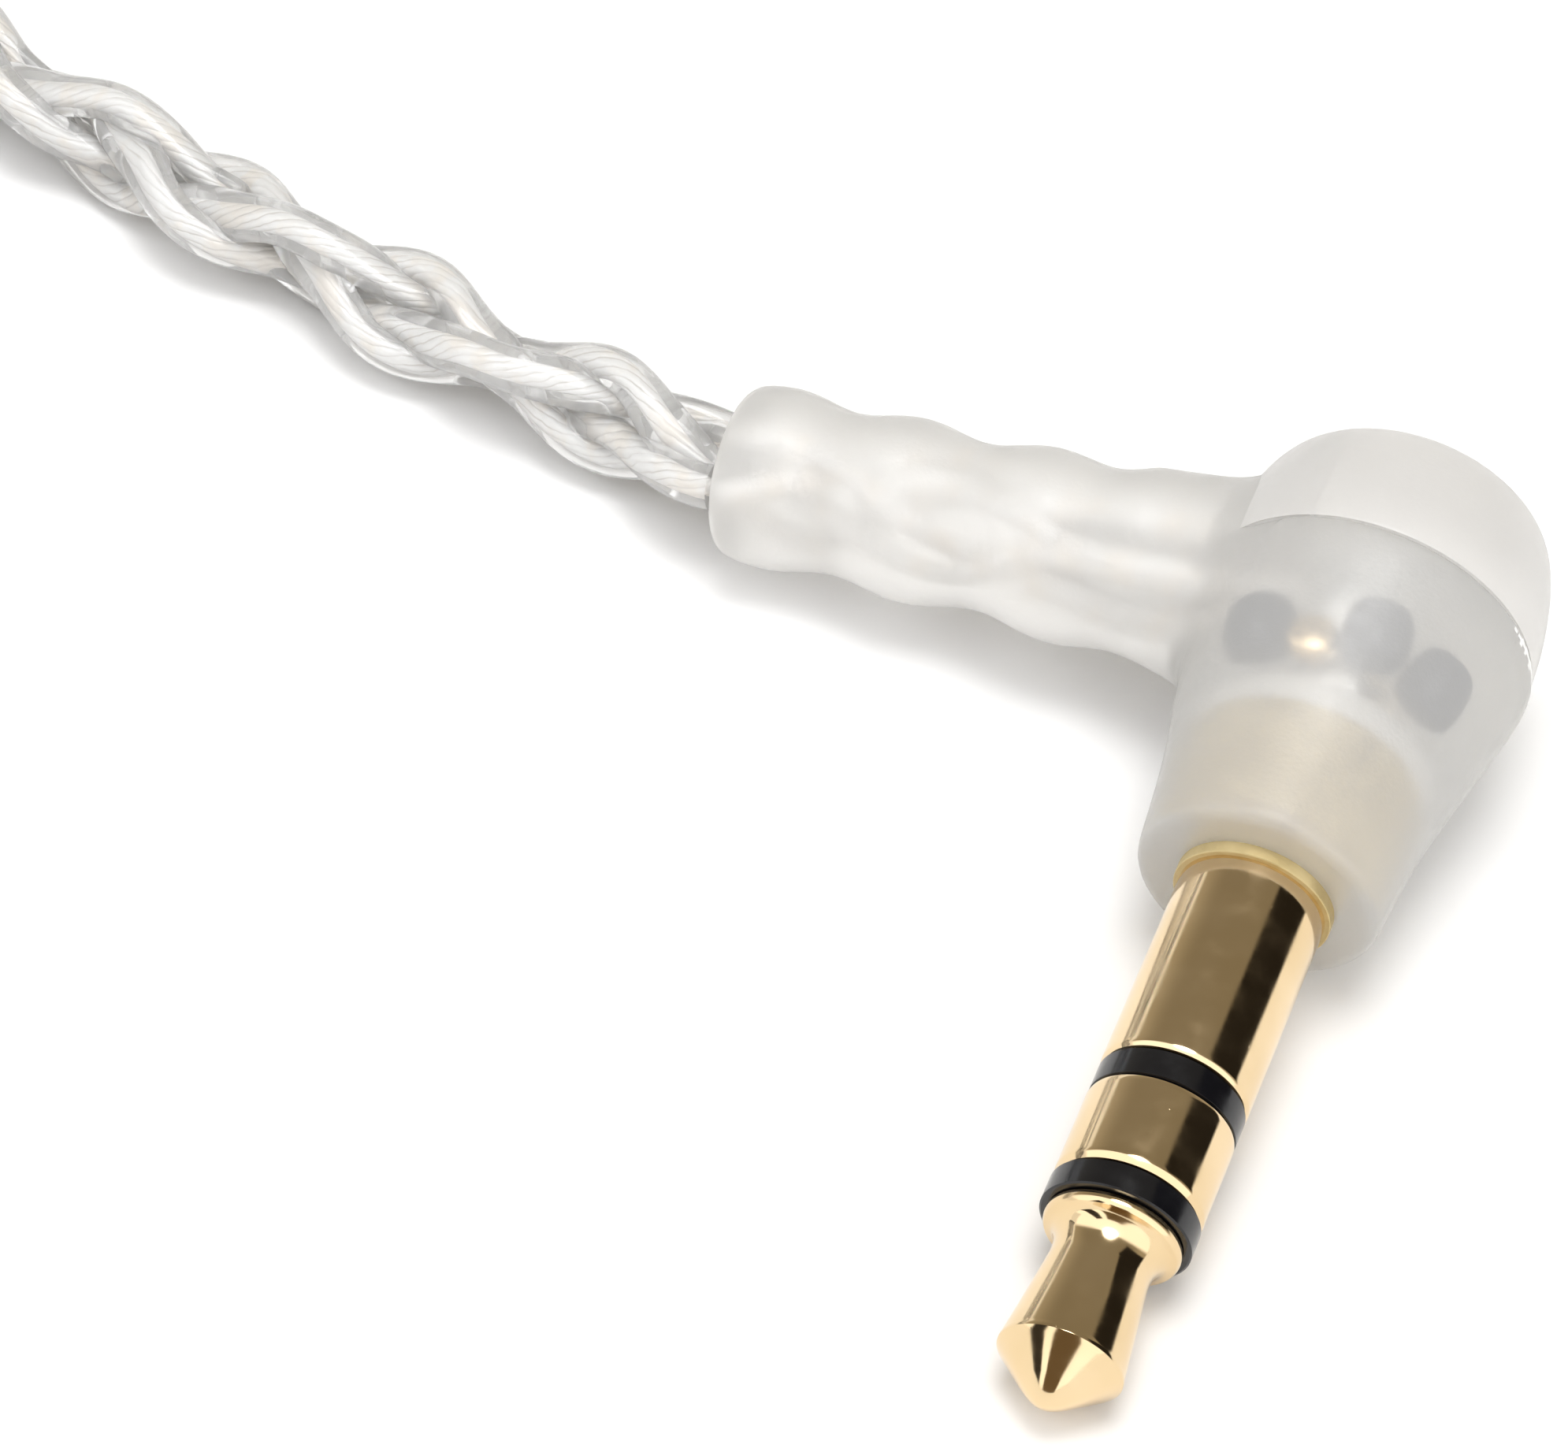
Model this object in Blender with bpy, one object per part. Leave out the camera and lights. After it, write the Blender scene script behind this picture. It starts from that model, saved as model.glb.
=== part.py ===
"""In-ear monitors: a right-angle 3.5 mm three-contact plug, a braided silver cable with a
splitter and chin slider, two leads with ear hooks and two-pin connectors, and two monitors.

The set lies as put away: the plug on its side, the cable wound into a coil, the leads
up between the monitors and over the ear hooks. Lengths are written in millimetres and
become metres when a mesh is made. +Z is up and z = 0 is the surface everything lies on.
"""

import math

import bmesh
import bpy
from mathutils import Matrix, Vector

MM = 0.001
GAP = 0.05  # between pieces that touch
CORD_GAP = 0.3  # between a cord's solids
X, Y, Z = Vector((1, 0, 0)), Vector((0, 1, 0)), Vector((0, 0, 1))

# The centre of the plug's and monitors' floor outline, from the plug's flange.
ORIGIN = Vector((-40.78, 23.12, 0))

# Plug, in its own frame: the shaft along Y with its tip towards -Y, the flange's centre
# at the origin, the boot along -X.
SHAFT_R = 1.75
SLEEVE_LENGTH = 5.5
BAND_WIDTH = 0.75
RING_LENGTH = 2.35
TIP_BAND_WIDTH = 0.7
TIP_COLLAR_R = 1.6
TIP_WAIST_R = 1.12
TIP_BULGE_R = 1.45
TIP_WAIST_AT = 10.0
TIP_BULGE_AT = 12.85
SHAFT_LENGTH = 14.0
FLANGE_R = 1.88
BARREL_LENGTH = 4.25
CORE_R = 0.45  # the tip contact's rod
CORE_WALL = 0.26  # each tube around it
CORE_STEP = 0.29  # from one tube to the next
TURN = 24  # sides of the plug's round pieces

HEAD = [(0.3, 2.86), (0.8, 2.94), (2.9, 3.16), (4.7, 3.5), (6.5, 3.9), (7.7, 4.13), (8.3, 4.15)]
CAP = [(8.3, 4.03), (9.4, 3.98), (10.6, 3.82), (11.4, 3.6), (11.9, 3.25), (12.15, 2.6)]
CHAMBER_R = 2.35
CHAMBER_AT = 5.15
CHAMBER_END = 9.9
BOOT_Y = 8.76
BOOT_END = 16.1
BOOT_R = 2.12
BOOT_ROOT_R = 2.75
BOOT_BORE_R = 1.6
BULGE_PITCH = 3.1
BULGE_HEIGHT = 0.1
WIRE_R = 0.42

# Cords
CABLE_D = 2.9
LEAD_D = 2.0
COIL_CENTRE = Vector((-69.5, 8.0, 0))
COIL_LIFT = 0.75  # the coil lies on its tie
TRACK = 2.93  # one turn of cable beside the next
COIL_IN = 10.68  # the innermost turn's centre
COIL_OUT = 22.4
ROW_RISE = 2.55  # the second row sits in the first one's grooves
PAIR_IN = 15.4  # the right lead's turns
PAIR_OUT = 17.6  # the left lead's turns
PAIR_LAYERS = 3
SLIDER_Z = 1.8  # the leads' height where the slider runs

# Splitter
SPLITTER_R = 2.5
SPLITTER_LENGTH = 12.0
SPLITTER_WALL = 0.7
SPLITTER_AT = 27.6  # from the coil's centre
SPLITTER_ANGLE = 135.5

# Chin slider
SLIDER_LENGTH = 7.0
SLIDER_WALL = 0.7
SLIDER_AT = 39.2

# Ear hooks and connectors
HOOK_R = 10.0
HOOK_START = 68.5
HOOK_WALL = 0.45
CONNECTOR_Z = 4.4
CONNECTOR_LENGTH = 7.4
CONNECTOR_HALF = (2.4, 1.6)
PIN_R = 0.39
PIN_PITCH = 2.0
PIN_DEPTH = 3.0
PIN_ROOT = 2.4

# Side of the set, as it lies, on which each ear's monitor is.
SIDES = (("right", -1), ("left", 1))

# Monitors, each in its own frame: the faceplate's outer face on the floor, the
# connector towards +Y, the nozzle leaning towards +X.
MONITOR_Y = 50.0
MONITOR_HALF = (8.4, 10.0)
FACEPLATE_T = 1.6
SHELL_WALL = 0.9
NOZZLE_BASE = Vector((4.1, -2.2, 13.0))
NOZZLE_AXIS = Vector((0.50, -0.20, 0.84)).normalized()
NOZZLE_R = 2.5
NOZZLE_LIP_R = 2.75
NOZZLE_BORE_R = 1.6
NOZZLE_LENGTH = 5.0
TIP_BORE_R = 2.85
EAR_TIP_R = 6.1
ROUND = 24  # points around a monitor's sections

# Tie around the coil
TIE_ANGLE = 300.0
TIE_WIDTH = 5.0
TIE_T = 0.7


# ---------------------------------------------------------------- helpers


def clear_scene():
    for old in list(bpy.data.objects):
        bpy.data.objects.remove(old, do_unlink=True)


def material(name, colour, roughness, metallic=0.0):
    made = bpy.data.materials.new(name)
    made.use_nodes = True
    shader = made.node_tree.nodes["Principled BSDF"]
    shader.inputs["Base Color"].default_value = (*colour, 1.0)
    shader.inputs["Roughness"].default_value = roughness
    shader.inputs["Metallic"].default_value = metallic
    made.diffuse_color = (*colour, 1.0)
    return made


def frame(name, matrix, parent=None):
    """An empty that places a sub-assembly; its matrix is in millimetres."""
    empty = bpy.data.objects.new(name, None)
    bpy.context.collection.objects.link(empty)
    empty.parent = parent
    rotation = matrix.to_3x3().to_4x4()
    empty.matrix_basis = Matrix.Translation(matrix.translation * MM) @ rotation
    return empty


def place(name, data, finish, parent):
    made = bpy.data.objects.new(name, data)
    data.materials.append(finish)
    bpy.context.collection.objects.link(made)
    made.parent = parent
    return made


def ring(centre, u, v, a, b=None, count=TURN, power=2.0):
    """Points around an ellipse, or a superellipse where power is over 2."""
    b = a if b is None else b
    points = []
    for k in range(count):
        c, s = math.cos(2 * math.pi * k / count), math.sin(2 * math.pi * k / count)
        across = a * math.copysign(abs(c) ** (2 / power), c)
        along = b * math.copysign(abs(s) ** (2 / power), s)
        points.append(centre + u * across + v * along)
    return points


def loft(name, loops, finish, parent, hollow=False):
    """A closed solid through loops of points. A hollow one joins its last loop to its
    first; any other has flat ends."""
    bm = bmesh.new()
    made = [[bm.verts.new(p * MM) for p in loop] for loop in loops]
    pairs = list(zip(made, made[1:]))
    if hollow:
        pairs.append((made[-1], made[0]))
    for low, high in pairs:
        for k in range(len(low)):
            after = (k + 1) % len(low)
            bm.faces.new((low[k], low[after], high[after], high[k]))
    if not hollow:
        bm.faces.new(made[0])
        bm.faces.new(made[-1])
    bmesh.ops.recalc_face_normals(bm, faces=bm.faces)
    mesh = bpy.data.meshes.new(name)
    bm.to_mesh(mesh)
    bm.free()
    mesh.shade_smooth()
    mesh.set_sharp_from_angle(angle=math.radians(35))
    return place(name, mesh, finish, parent)


def turned(name, profile, finish, parent, hollow=False, start=None, axis=Y, count=TURN):
    """A turned piece: profile holds (distance along axis, radius) pairs."""
    start = Vector() if start is None else start
    u, v = across(axis)
    loops = [ring(start + axis * s, u, v, r, count=count) for s, r in profile]
    return loft(name, loops, finish, parent, hollow)


def across(axis):
    """Two directions across an axis, the same ones each time."""
    u = (X if abs(axis.x) < 0.9 else Y).copy()
    u = (u - axis * u.dot(axis)).normalized()
    return u, axis.cross(u)


def block(name, low, high, finish, parent, bevel=0.15):
    """A box with chamfered long edges."""
    corners = ((low[1], low[2], 1, 1), (high[1], low[2], -1, 1))
    corners += ((high[1], high[2], -1, -1), (low[1], high[2], 1, -1))
    loops = []
    for x in (low[0], high[0]):
        loop = []
        for y, z, sy, sz in corners:
            first = Vector((x, y + sy * bevel, z))
            second = Vector((x, y, z + sz * bevel))
            loop += [first, second] if sy * sz < 0 else [second, first]
        loops.append(loop)
    return loft(name, loops, finish, parent)


def cutter(made):
    made.hide_render = True
    made.display_type = "WIRE"
    return made


def combine(target, other, operation):
    step = target.modifiers.new(operation.lower(), "BOOLEAN")
    step.operation = operation
    step.object = cutter(other)
    step.solver = "EXACT"


def smooth_line(points, spacing):
    """Points at an even spacing along a smooth curve through the given points."""
    points = [Vector(p) for p in points]
    ends = [2 * points[0] - points[1], *points, 2 * points[-1] - points[-2]]
    fine = [points[0]]
    for a, b, c, d in zip(ends, ends[1:], ends[2:], ends[3:]):
        for k in range(1, 17):
            t = k / 16
            square = 2 * a - 5 * b + 4 * c - d
            cube = 3 * b - a - 3 * c + d
            fine.append(0.5 * (2 * b + (c - a) * t + square * t**2 + cube * t**3))
    total = sum((b - a).length for a, b in zip(fine, fine[1:]))
    step = total / max(2, round(total / spacing))
    line, travelled = [fine[0]], 0.0
    for a, b in zip(fine, fine[1:]):
        long = (b - a).length
        while travelled + long >= step * len(line) - 1e-6 and long > 0:
            line.append(a.lerp(b, (step * len(line) - travelled) / long))
        travelled += long
    return line


def tube(name, line, radius, finish, parent):
    """A cord's plain solid along a line of points."""
    curve = bpy.data.curves.new(name, "CURVE")
    curve.dimensions = "3D"
    curve.bevel_depth = radius * MM
    curve.bevel_resolution = 2
    curve.render_resolution_u = 0
    curve.use_fill_caps = True
    spline = curve.splines.new("POLY")
    spline.points.add(len(line) - 1)
    for point, place_at in zip(spline.points, line):
        point.co = (*(place_at * MM), 1.0)
    return place(name, curve, finish, parent)


def sleeve(name, line, outer, inner, finish, parent, count=12):
    """A tube with a bore, swept along a line of points."""
    walls = []
    for radius in (outer, inner):
        loops = []
        for k, point in enumerate(line):
            along = (line[min(k + 1, len(line) - 1)] - line[max(k - 1, 0)]).normalized()
            u = Z.cross(along).normalized()
            loops.append(ring(point, u, along.cross(u), radius, count=count))
        walls.append(loops)
    return loft(name, walls[0] + walls[1][::-1], finish, parent, hollow=True)


def ease(t):
    t = min(1.0, max(0.0, t))
    return t * t * (3 - 2 * t)


def on_coil(degrees, radius, height):
    angle = math.radians(degrees)
    return COIL_CENTRE + Vector((radius * math.cos(angle), radius * math.sin(angle), height))


# ---------------------------------------------------------------- plug


def plug_rest():
    """The plug's placing where it lies on its head, its tip and the boot's end."""
    slope, head_at, head_r = max(((r - TIP_BULGE_R) / (y + TIP_BULGE_AT), y, r) for y, r in HEAD)
    pitch = math.atan(slope)
    roll = -math.asin((head_r - BOOT_R - BULGE_HEIGHT) / BOOT_END)
    turn = Matrix.Rotation(pitch, 4, "X") @ Matrix.Rotation(roll, 4, "Y")
    up = Vector(turn[2][:3])
    reach = math.hypot(up.x, up.z)
    lowest = min(up.y * head_at - head_r * reach, -up.y * TIP_BULGE_AT - TIP_BULGE_R * reach)
    return Matrix.Translation(Vector((0, 0, -lowest))) @ turn


def core_tube(name, level, near, far, outer, finish, parent):
    """One of the plug's concentric contacts or insulators: a thin tube that runs back
    inside the barrel, with the full-width band that shows at its front."""
    inner_r = CORE_R + 0.03 + CORE_STEP * level
    tube_r = inner_r + CORE_WALL
    band_start, band_end = near
    profile = [
        (-band_end, inner_r),
        (-band_end, outer),
        (-band_start, outer),
        (-band_start, tube_r),
        (far, tube_r),
        (far, inner_r),
    ]
    return turned(name, profile, finish, parent, hollow=True)


def plug_contacts(gold, black, parent):
    sleeve_end = SLEEVE_LENGTH
    ring_start = sleeve_end + BAND_WIDTH
    ring_end = ring_start + RING_LENGTH
    tip_start = ring_end + TIP_BAND_WIDTH
    half = GAP / 2
    tip = [
        (7.4, CORE_R),
        (-tip_start - half, CORE_R),
        (-tip_start - half, TIP_COLLAR_R),
        (-tip_start - 0.25, TIP_COLLAR_R - 0.05),
        (-TIP_WAIST_AT, TIP_WAIST_R),
        (-TIP_BULGE_AT, TIP_BULGE_R),
        (-SHAFT_LENGTH + 0.1, 0.35),
        (-SHAFT_LENGTH, 0.2),
    ]
    turned("plug_tip_contact", tip, gold, parent)
    tip_band = (ring_end + half, tip_start - half)
    ring_face = (ring_start + half, ring_end - half)
    ring_band = (sleeve_end + half, ring_start - half)
    core_tube("plug_tip_insulator", 0, tip_band, 6.1, SHAFT_R + 0.03, black, parent)
    core_tube("plug_ring_contact", 1, ring_face, 5.6, SHAFT_R, gold, parent)
    core_tube("plug_ring_insulator", 2, ring_band, 5.05, SHAFT_R - 0.02, black, parent)
    bore = CORE_R + 0.03 + CORE_STEP * 3
    sleeve_profile = [
        (-sleeve_end + half, bore),
        (-sleeve_end + half, SHAFT_R - 0.08),
        (-sleeve_end + 0.12, SHAFT_R),
        (0.0, SHAFT_R),
        (0.0, FLANGE_R),
        (0.75, FLANGE_R),
        (0.85, FLANGE_R - 0.2),
        (1.15, FLANGE_R - 0.2),
        (1.25, FLANGE_R),
        (BARREL_LENGTH, FLANGE_R),
        (BARREL_LENGTH, bore),
    ]
    turned("plug_sleeve_contact", sleeve_profile, gold, parent, hollow=True)
    collar = [(BARREL_LENGTH + GAP, bore), (BARREL_LENGTH + GAP, FLANGE_R), (5.0, FLANGE_R), (5.0, bore)]
    return turned("plug_rear_collar", collar, black, parent, hollow=True)


def plug_lugs(gold, parent):
    block("plug_tip_lug", (-0.6, 7.45, -0.15), (0.6, 9.5, 0.15), gold, parent, 0.04)
    block("plug_ring_lug", (-0.6, 5.2, 1.08), (0.6, 9.3, 1.36), gold, parent, 0.04)
    block("plug_ground_lug", (-0.6, 5.2, -1.36), (0.6, 9.3, -1.08), gold, parent, 0.04)


def plug_wires(silver, parent):
    """The cable's four conductors, from the boot's mouth to the lugs."""
    ends = {
        "plug_wire_left": ((-0.55, 0.55), (8.3, 0.1)),
        "plug_wire_right": ((0.55, 0.55), (8.85, 1.25)),
        "plug_wire_left_return": ((-0.55, -0.55), (8.1, -1.25)),
        "plug_wire_right_return": ((0.55, -0.55), (9.1, -1.25)),
    }
    for name, ((dy, dz), (y, z)) in ends.items():
        route = [
            (-BOOT_END + 0.4, BOOT_Y + dy, dz),
            (-11, BOOT_Y + dy, dz),
            (-5.5, BOOT_Y + dy, dz),
            (-2.6, (BOOT_Y + dy + y) / 2, (dz + z) / 2),
            (-1.05, y, z),
        ]
        tube(name, smooth_line(route, 1.6), WIRE_R, silver, parent)


def boot_radius(x, angle):
    """The boot narrows away from the head, and shows the wires' lay as shallow bulges
    that wind around it."""
    root = ease((x + 9.5) / 6.0)
    plain = BOOT_R + 0.1 * ease((x + 9.0) / 2.0) + (BOOT_ROOT_R - BOOT_R - 0.1) * root
    bulge = BULGE_HEIGHT * math.sin(2 * math.pi * x / BULGE_PITCH + angle)
    rim = 0.35 * (1 - ease((x + BOOT_END) / 0.8))
    return plain + bulge * (1 - root) - rim


def boot_solid(frosted, parent):
    loops = []
    stations = 21
    inner_end = -2.45
    for k in range(stations):
        x = -BOOT_END + (BOOT_END + inner_end) * (k / (stations - 1)) ** 1.15
        loop = []
        for j in range(TURN):
            angle = 2 * math.pi * j / TURN
            r = boot_radius(x, angle)
            loop.append(Vector((x, BOOT_Y + r * math.cos(angle), r * math.sin(angle))))
        loops.append(loop)
    return loft("boot_guide", loops, frosted, parent)


def plug_housing(frosted, parent):
    """The frosted overmould: head and boot in one piece, bored for the barrel, the
    terminals and the wires."""
    body = turned("plug_housing", HEAD, frosted, parent)
    combine(body, boot_solid(frosted, parent), "UNION")
    barrel = [(-1.0, FLANGE_R + GAP), (CHAMBER_AT, FLANGE_R + GAP)]
    combine(body, turned("barrel_bore", barrel, frosted, parent), "DIFFERENCE")
    chamber = [(CHAMBER_AT - GAP, CHAMBER_R), (CHAMBER_END, CHAMBER_R)]
    combine(body, turned("chamber_bore", chamber, frosted, parent), "DIFFERENCE")
    mouth = Vector((0, BOOT_Y, 0))
    bore = [(-BOOT_END - 1, BOOT_BORE_R), (-1.0, BOOT_BORE_R)]
    combine(body, turned("boot_bore", bore, frosted, parent, start=mouth, axis=X), "DIFFERENCE")
    return body


def plug_end_cap(frosted, parent):
    front, front_r = CAP[0]
    front += GAP
    profile = [(CHAMBER_END, CHAMBER_R), (front, CHAMBER_R), (front, front_r), *CAP[1:]]
    cap = turned("plug_end_cap", profile, frosted, parent)
    notch = [(-6.0, BOOT_ROOT_R + GAP), (-2.4, BOOT_ROOT_R + GAP)]
    notch += [(-2.35, BOOT_BORE_R + GAP), (-1.0, BOOT_BORE_R)]
    start = Vector((0, BOOT_Y, 0))
    combine(cap, turned("boot_notch", notch, frosted, parent, start=start, axis=X), "DIFFERENCE")
    return cap


def make_plug(m, root):
    parent = frame("plug_frame", plug_rest(), root)
    plug_contacts(m["gold"], m["black"], parent)
    plug_lugs(m["gold"], parent)
    plug_wires(m["silver"], parent)
    plug_housing(m["frosted"], parent)
    plug_end_cap(m["frosted"], parent)


# ---------------------------------------------------------------- cable and coil

# The cable's route from the boot to the coil.
CABLE_ROUTE = [
    (-16.29, 8.97, 2.3),
    (-18.0, 9.4, 2.13),
    (-21.4, 10.3, 1.7),
    (-25.1, 11.15, 1.53),
    (-31.1, 12.75, 1.53),
    (-38.0, 14.8, 1.54),
    (-42.5, 16.4, 1.7),
    (-46.3, 18.5, 2.0),
]
# From the coil to the splitter, and from the splitter back onto the coil: degrees round
# the coil, distance from its centre, and height.
TAIL_ROUTE = [(101, 25.75, 4.6), (108, 26.6, 3.7), (115, 27.2, 2.9), (121.5, 27.9, 2.56)]
ENTRY_TURN = (150.5, 165, 180, 195, 210, 225, 240, 250)
ENTRY_RADIUS = (28.3, 28.0, 26.9, 24.9, 22.4, 19.6, 17.4, 16.5)
ENTRY_HEIGHT = (2.56, 4.4, 6.9, 8.0, 7.9, 7.65, 7.55, 7.55)


def lead_entry(side):
    """A lead from the splitter to the coil of leads."""
    half = (PAIR_OUT - PAIR_IN) / 2 * side
    rows = zip(ENTRY_TURN, ENTRY_RADIUS, ENTRY_HEIGHT)
    line = smooth_line([on_coil(d, r + half, z) for d, r, z in rows], 4.0)
    outer = PAIR_OUT + LEAD_D / 2 + 0.2 + CORD_GAP + LEAD_D / 2
    return [p for p in line if (p - COIL_CENTRE).xy.length > outer]


def lead_run(side):
    """A lead from the coil, down past the chin slider and over the ear to its
    connector."""
    x = COIL_CENTRE.x + (PAIR_IN if side < 0 else PAIR_OUT)
    top = COIL_LIFT + 2 * ROW_RISE + 0.35 + LEAD_D * (PAIR_LAYERS - 0.3)
    leave = 12.9 if side < 0 else 9.7
    fall = [(leave, top), (17.0, top - 2.6), (20.5, 6.2), (25.0, 3.6), (28.0, 2.2), (30.5, SLIDER_Z)]
    route = [(x, COIL_CENTRE.y + dy, z) for dy, z in fall]
    route += [(x, y, SLIDER_Z) for y in (42.0, 48.0, 54.0, 60.0, 64.5)]
    centre_x = x + side * HOOK_R
    for k in range(13):
        turn = math.pi * k / 12
        rise = (CONNECTOR_Z - SLIDER_Z) * ease((k - 2) / 9)
        over = centre_x - side * HOOK_R * math.cos(turn)
        route.append((over, HOOK_START + HOOK_R * math.sin(turn), SLIDER_Z + rise))
    return smooth_line(route, 2.2)


def coil_solid(name, section, finish, parent, count=48):
    """A coil's outer shape: section holds (distance from the coil's centre, height)."""
    loops = []
    for r, z in section:
        loops.append(ring(COIL_CENTRE + Z * z, X, Y, r, count=count))
    return loft(name, loops, finish, parent, hollow=True)


def make_cords(m, root):
    low = COIL_LIFT
    half = CABLE_D / 2
    top = low + CABLE_D + ROW_RISE
    tube("main_cable_run", smooth_line(CABLE_ROUTE, 5.0), half, m["silver"], root)
    section = [
        (COIL_IN - half, low),
        (COIL_OUT + half, low),
        (COIL_OUT + half, low + 2.6),
        (COIL_OUT + half - 0.9, top),
        (COIL_IN - half + 1.4, top),
        (COIL_IN - half, low + 2.6),
    ]
    coil_solid("main_cable_coil", section, m["silver"], root)
    tail = [on_coil(d, r, z) for d, r, z in TAIL_ROUTE]
    tube("main_cable_tail", smooth_line(tail, 3.5), half, m["silver"], root)
    low = top + CORD_GAP
    high = low + LEAD_D * PAIR_LAYERS + 0.4
    inner, outer = PAIR_IN - LEAD_D / 2 - 0.1, PAIR_OUT + LEAD_D / 2 + 0.2
    section = [(inner, low), (outer, low), (outer, high), (inner, high)]
    coil_solid("leads_coil", section, m["silver"], root)
    for name, side in SIDES:
        tube(f"{name}_lead_entry", lead_entry(side), LEAD_D / 2, m["silver"], root)
        line = lead_run(side)
        tube(f"{name}_lead_run", line, LEAD_D / 2, m["silver"], root)
        outer = LEAD_D / 2 + 0.2 + HOOK_WALL
        clear_of_pair = outer + GAP - (PAIR_OUT - PAIR_IN) / 2
        hook = [p for p in line if abs(p.x - line[0].x) > clear_of_pair][:-1]
        sleeve(f"{name}_ear_hook", hook, outer, LEAD_D / 2 + 0.2, m["clear"], root)
    return high


def make_tie(m, root, top):
    """A strap closed around the whole bundle of turns."""
    angle = math.radians(TIE_ANGLE)
    out = Vector((math.cos(angle), math.sin(angle), 0))
    along = Vector((-out.y, out.x, 0))
    half = CABLE_D / 2
    main_top = COIL_LIFT + CABLE_D + ROW_RISE
    inner = [
        (COIL_IN - half - 0.6, COIL_LIFT - GAP),
        (COIL_OUT + half + 0.2, COIL_LIFT - GAP),
        (COIL_OUT + half + 0.2, COIL_LIFT + 2.8),
        (COIL_OUT + half - 0.5, main_top + 0.4),
        (PAIR_OUT + LEAD_D / 2 + 0.5, top + 0.15),
        (PAIR_IN - LEAD_D / 2 - 0.5, top + 0.15),
        (COIL_IN - half + 0.7, main_top + 0.4),
        (COIL_IN - half - 0.6, COIL_LIFT + 2.8),
    ]
    loops = []
    for offset, shift in ((0, -1), (TIE_T, -1), (TIE_T, 1), (0, 1)):
        loop = []
        for k, (r, z) in enumerate(inner):
            before, after = inner[k - 1], inner[(k + 1) % len(inner)]
            edge = Vector((after[0] - before[0], after[1] - before[1])).normalized()
            point = COIL_CENTRE + out * (r + offset * edge.y)
            height = max(0.0, z - offset * edge.x) if k > 1 else (COIL_LIFT - GAP - offset)
            loop.append(point + Z * height + along * (shift * TIE_WIDTH / 2))
        loops.append(loop)
    loft("coil_tie", loops, m["tie"], root, hollow=True)


# ---------------------------------------------------------------- splitter and slider


def half_shell(name, stations, side, finish, parent):
    """Half of a split barrel, open along its axis: stations hold (distance along X,
    outer radius, inner radius)."""
    loops = []
    steps = 10
    for x, outer, inner in stations:
        loop = []
        for radius, order in ((outer, range(steps + 1)), (inner, range(steps, -1, -1))):
            for k in order:
                angle = math.pi * k / steps
                height = radius * math.sin(angle) + GAP / 2
                loop.append(Vector((x, radius * math.cos(angle), side * height)))
        loops.append(loop)
    return loft(name, loops, finish, parent)


def make_splitter(m, root):
    angle = math.radians(SPLITTER_ANGLE)
    heading = math.atan2(math.cos(angle), -math.sin(angle))
    centre = on_coil(SPLITTER_ANGLE, SPLITTER_AT, SPLITTER_R + 0.06)
    placing = Matrix.Translation(centre) @ Matrix.Rotation(heading, 4, "Z")
    parent = frame("splitter_frame", placing, root)
    half = SPLITTER_LENGTH / 2
    wall = SPLITTER_WALL
    r = SPLITTER_R
    stations = [
        (-half, 1.9, 1.5),
        (-half + 1.2, 2.2, 1.5),
        (-2.0, r, r - wall),
        (2.0, r, r - wall),
        (half - 1.0, r, r - wall),
        (half, r - 0.2, r - wall),
    ]
    half_shell("splitter_upper_shell", stations, 1, m["black"], parent)
    half_shell("splitter_lower_shell", stations, -1, m["black"], parent)
    crimp = [(-3.0, 1.1), (-2.6, 1.4), (2.0, 1.4), (2.4, 1.1)]
    turned("splitter_crimp", crimp, m["gold"], parent, axis=X, count=16)


def stadium(centre, half_width, radius, count=6):
    """A flat-sided oval across Y."""
    points = []
    for side in (1, -1):
        for k in range(count + 1):
            angle = math.pi * k / count - math.pi / 2
            x = side * (half_width + radius * math.cos(angle))
            points.append(centre + Vector((x, 0, side * radius * math.sin(angle))))
    return points


def make_slider(m, root):
    """The chin slider: a soft oval ring around both leads."""
    middle = COIL_CENTRE.x + (PAIR_IN + PAIR_OUT) / 2
    half = (PAIR_OUT - PAIR_IN) / 2
    bore = LEAD_D / 2 + 0.06
    loops = []
    sections = [(0.0, SLIDER_WALL - 0.25), (0.5, SLIDER_WALL), (SLIDER_LENGTH - 0.5, SLIDER_WALL)]
    sections += [(SLIDER_LENGTH, SLIDER_WALL - 0.25), (SLIDER_LENGTH, 0.0), (0.0, 0.0)]
    for along, wall in sections:
        centre = Vector((middle, SLIDER_AT + along, SLIDER_Z))
        loops.append(stadium(centre, half, bore + wall))
    return loft("chin_slider", loops, m["black"], root, hollow=True)


# ---------------------------------------------------------------- connectors


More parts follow.
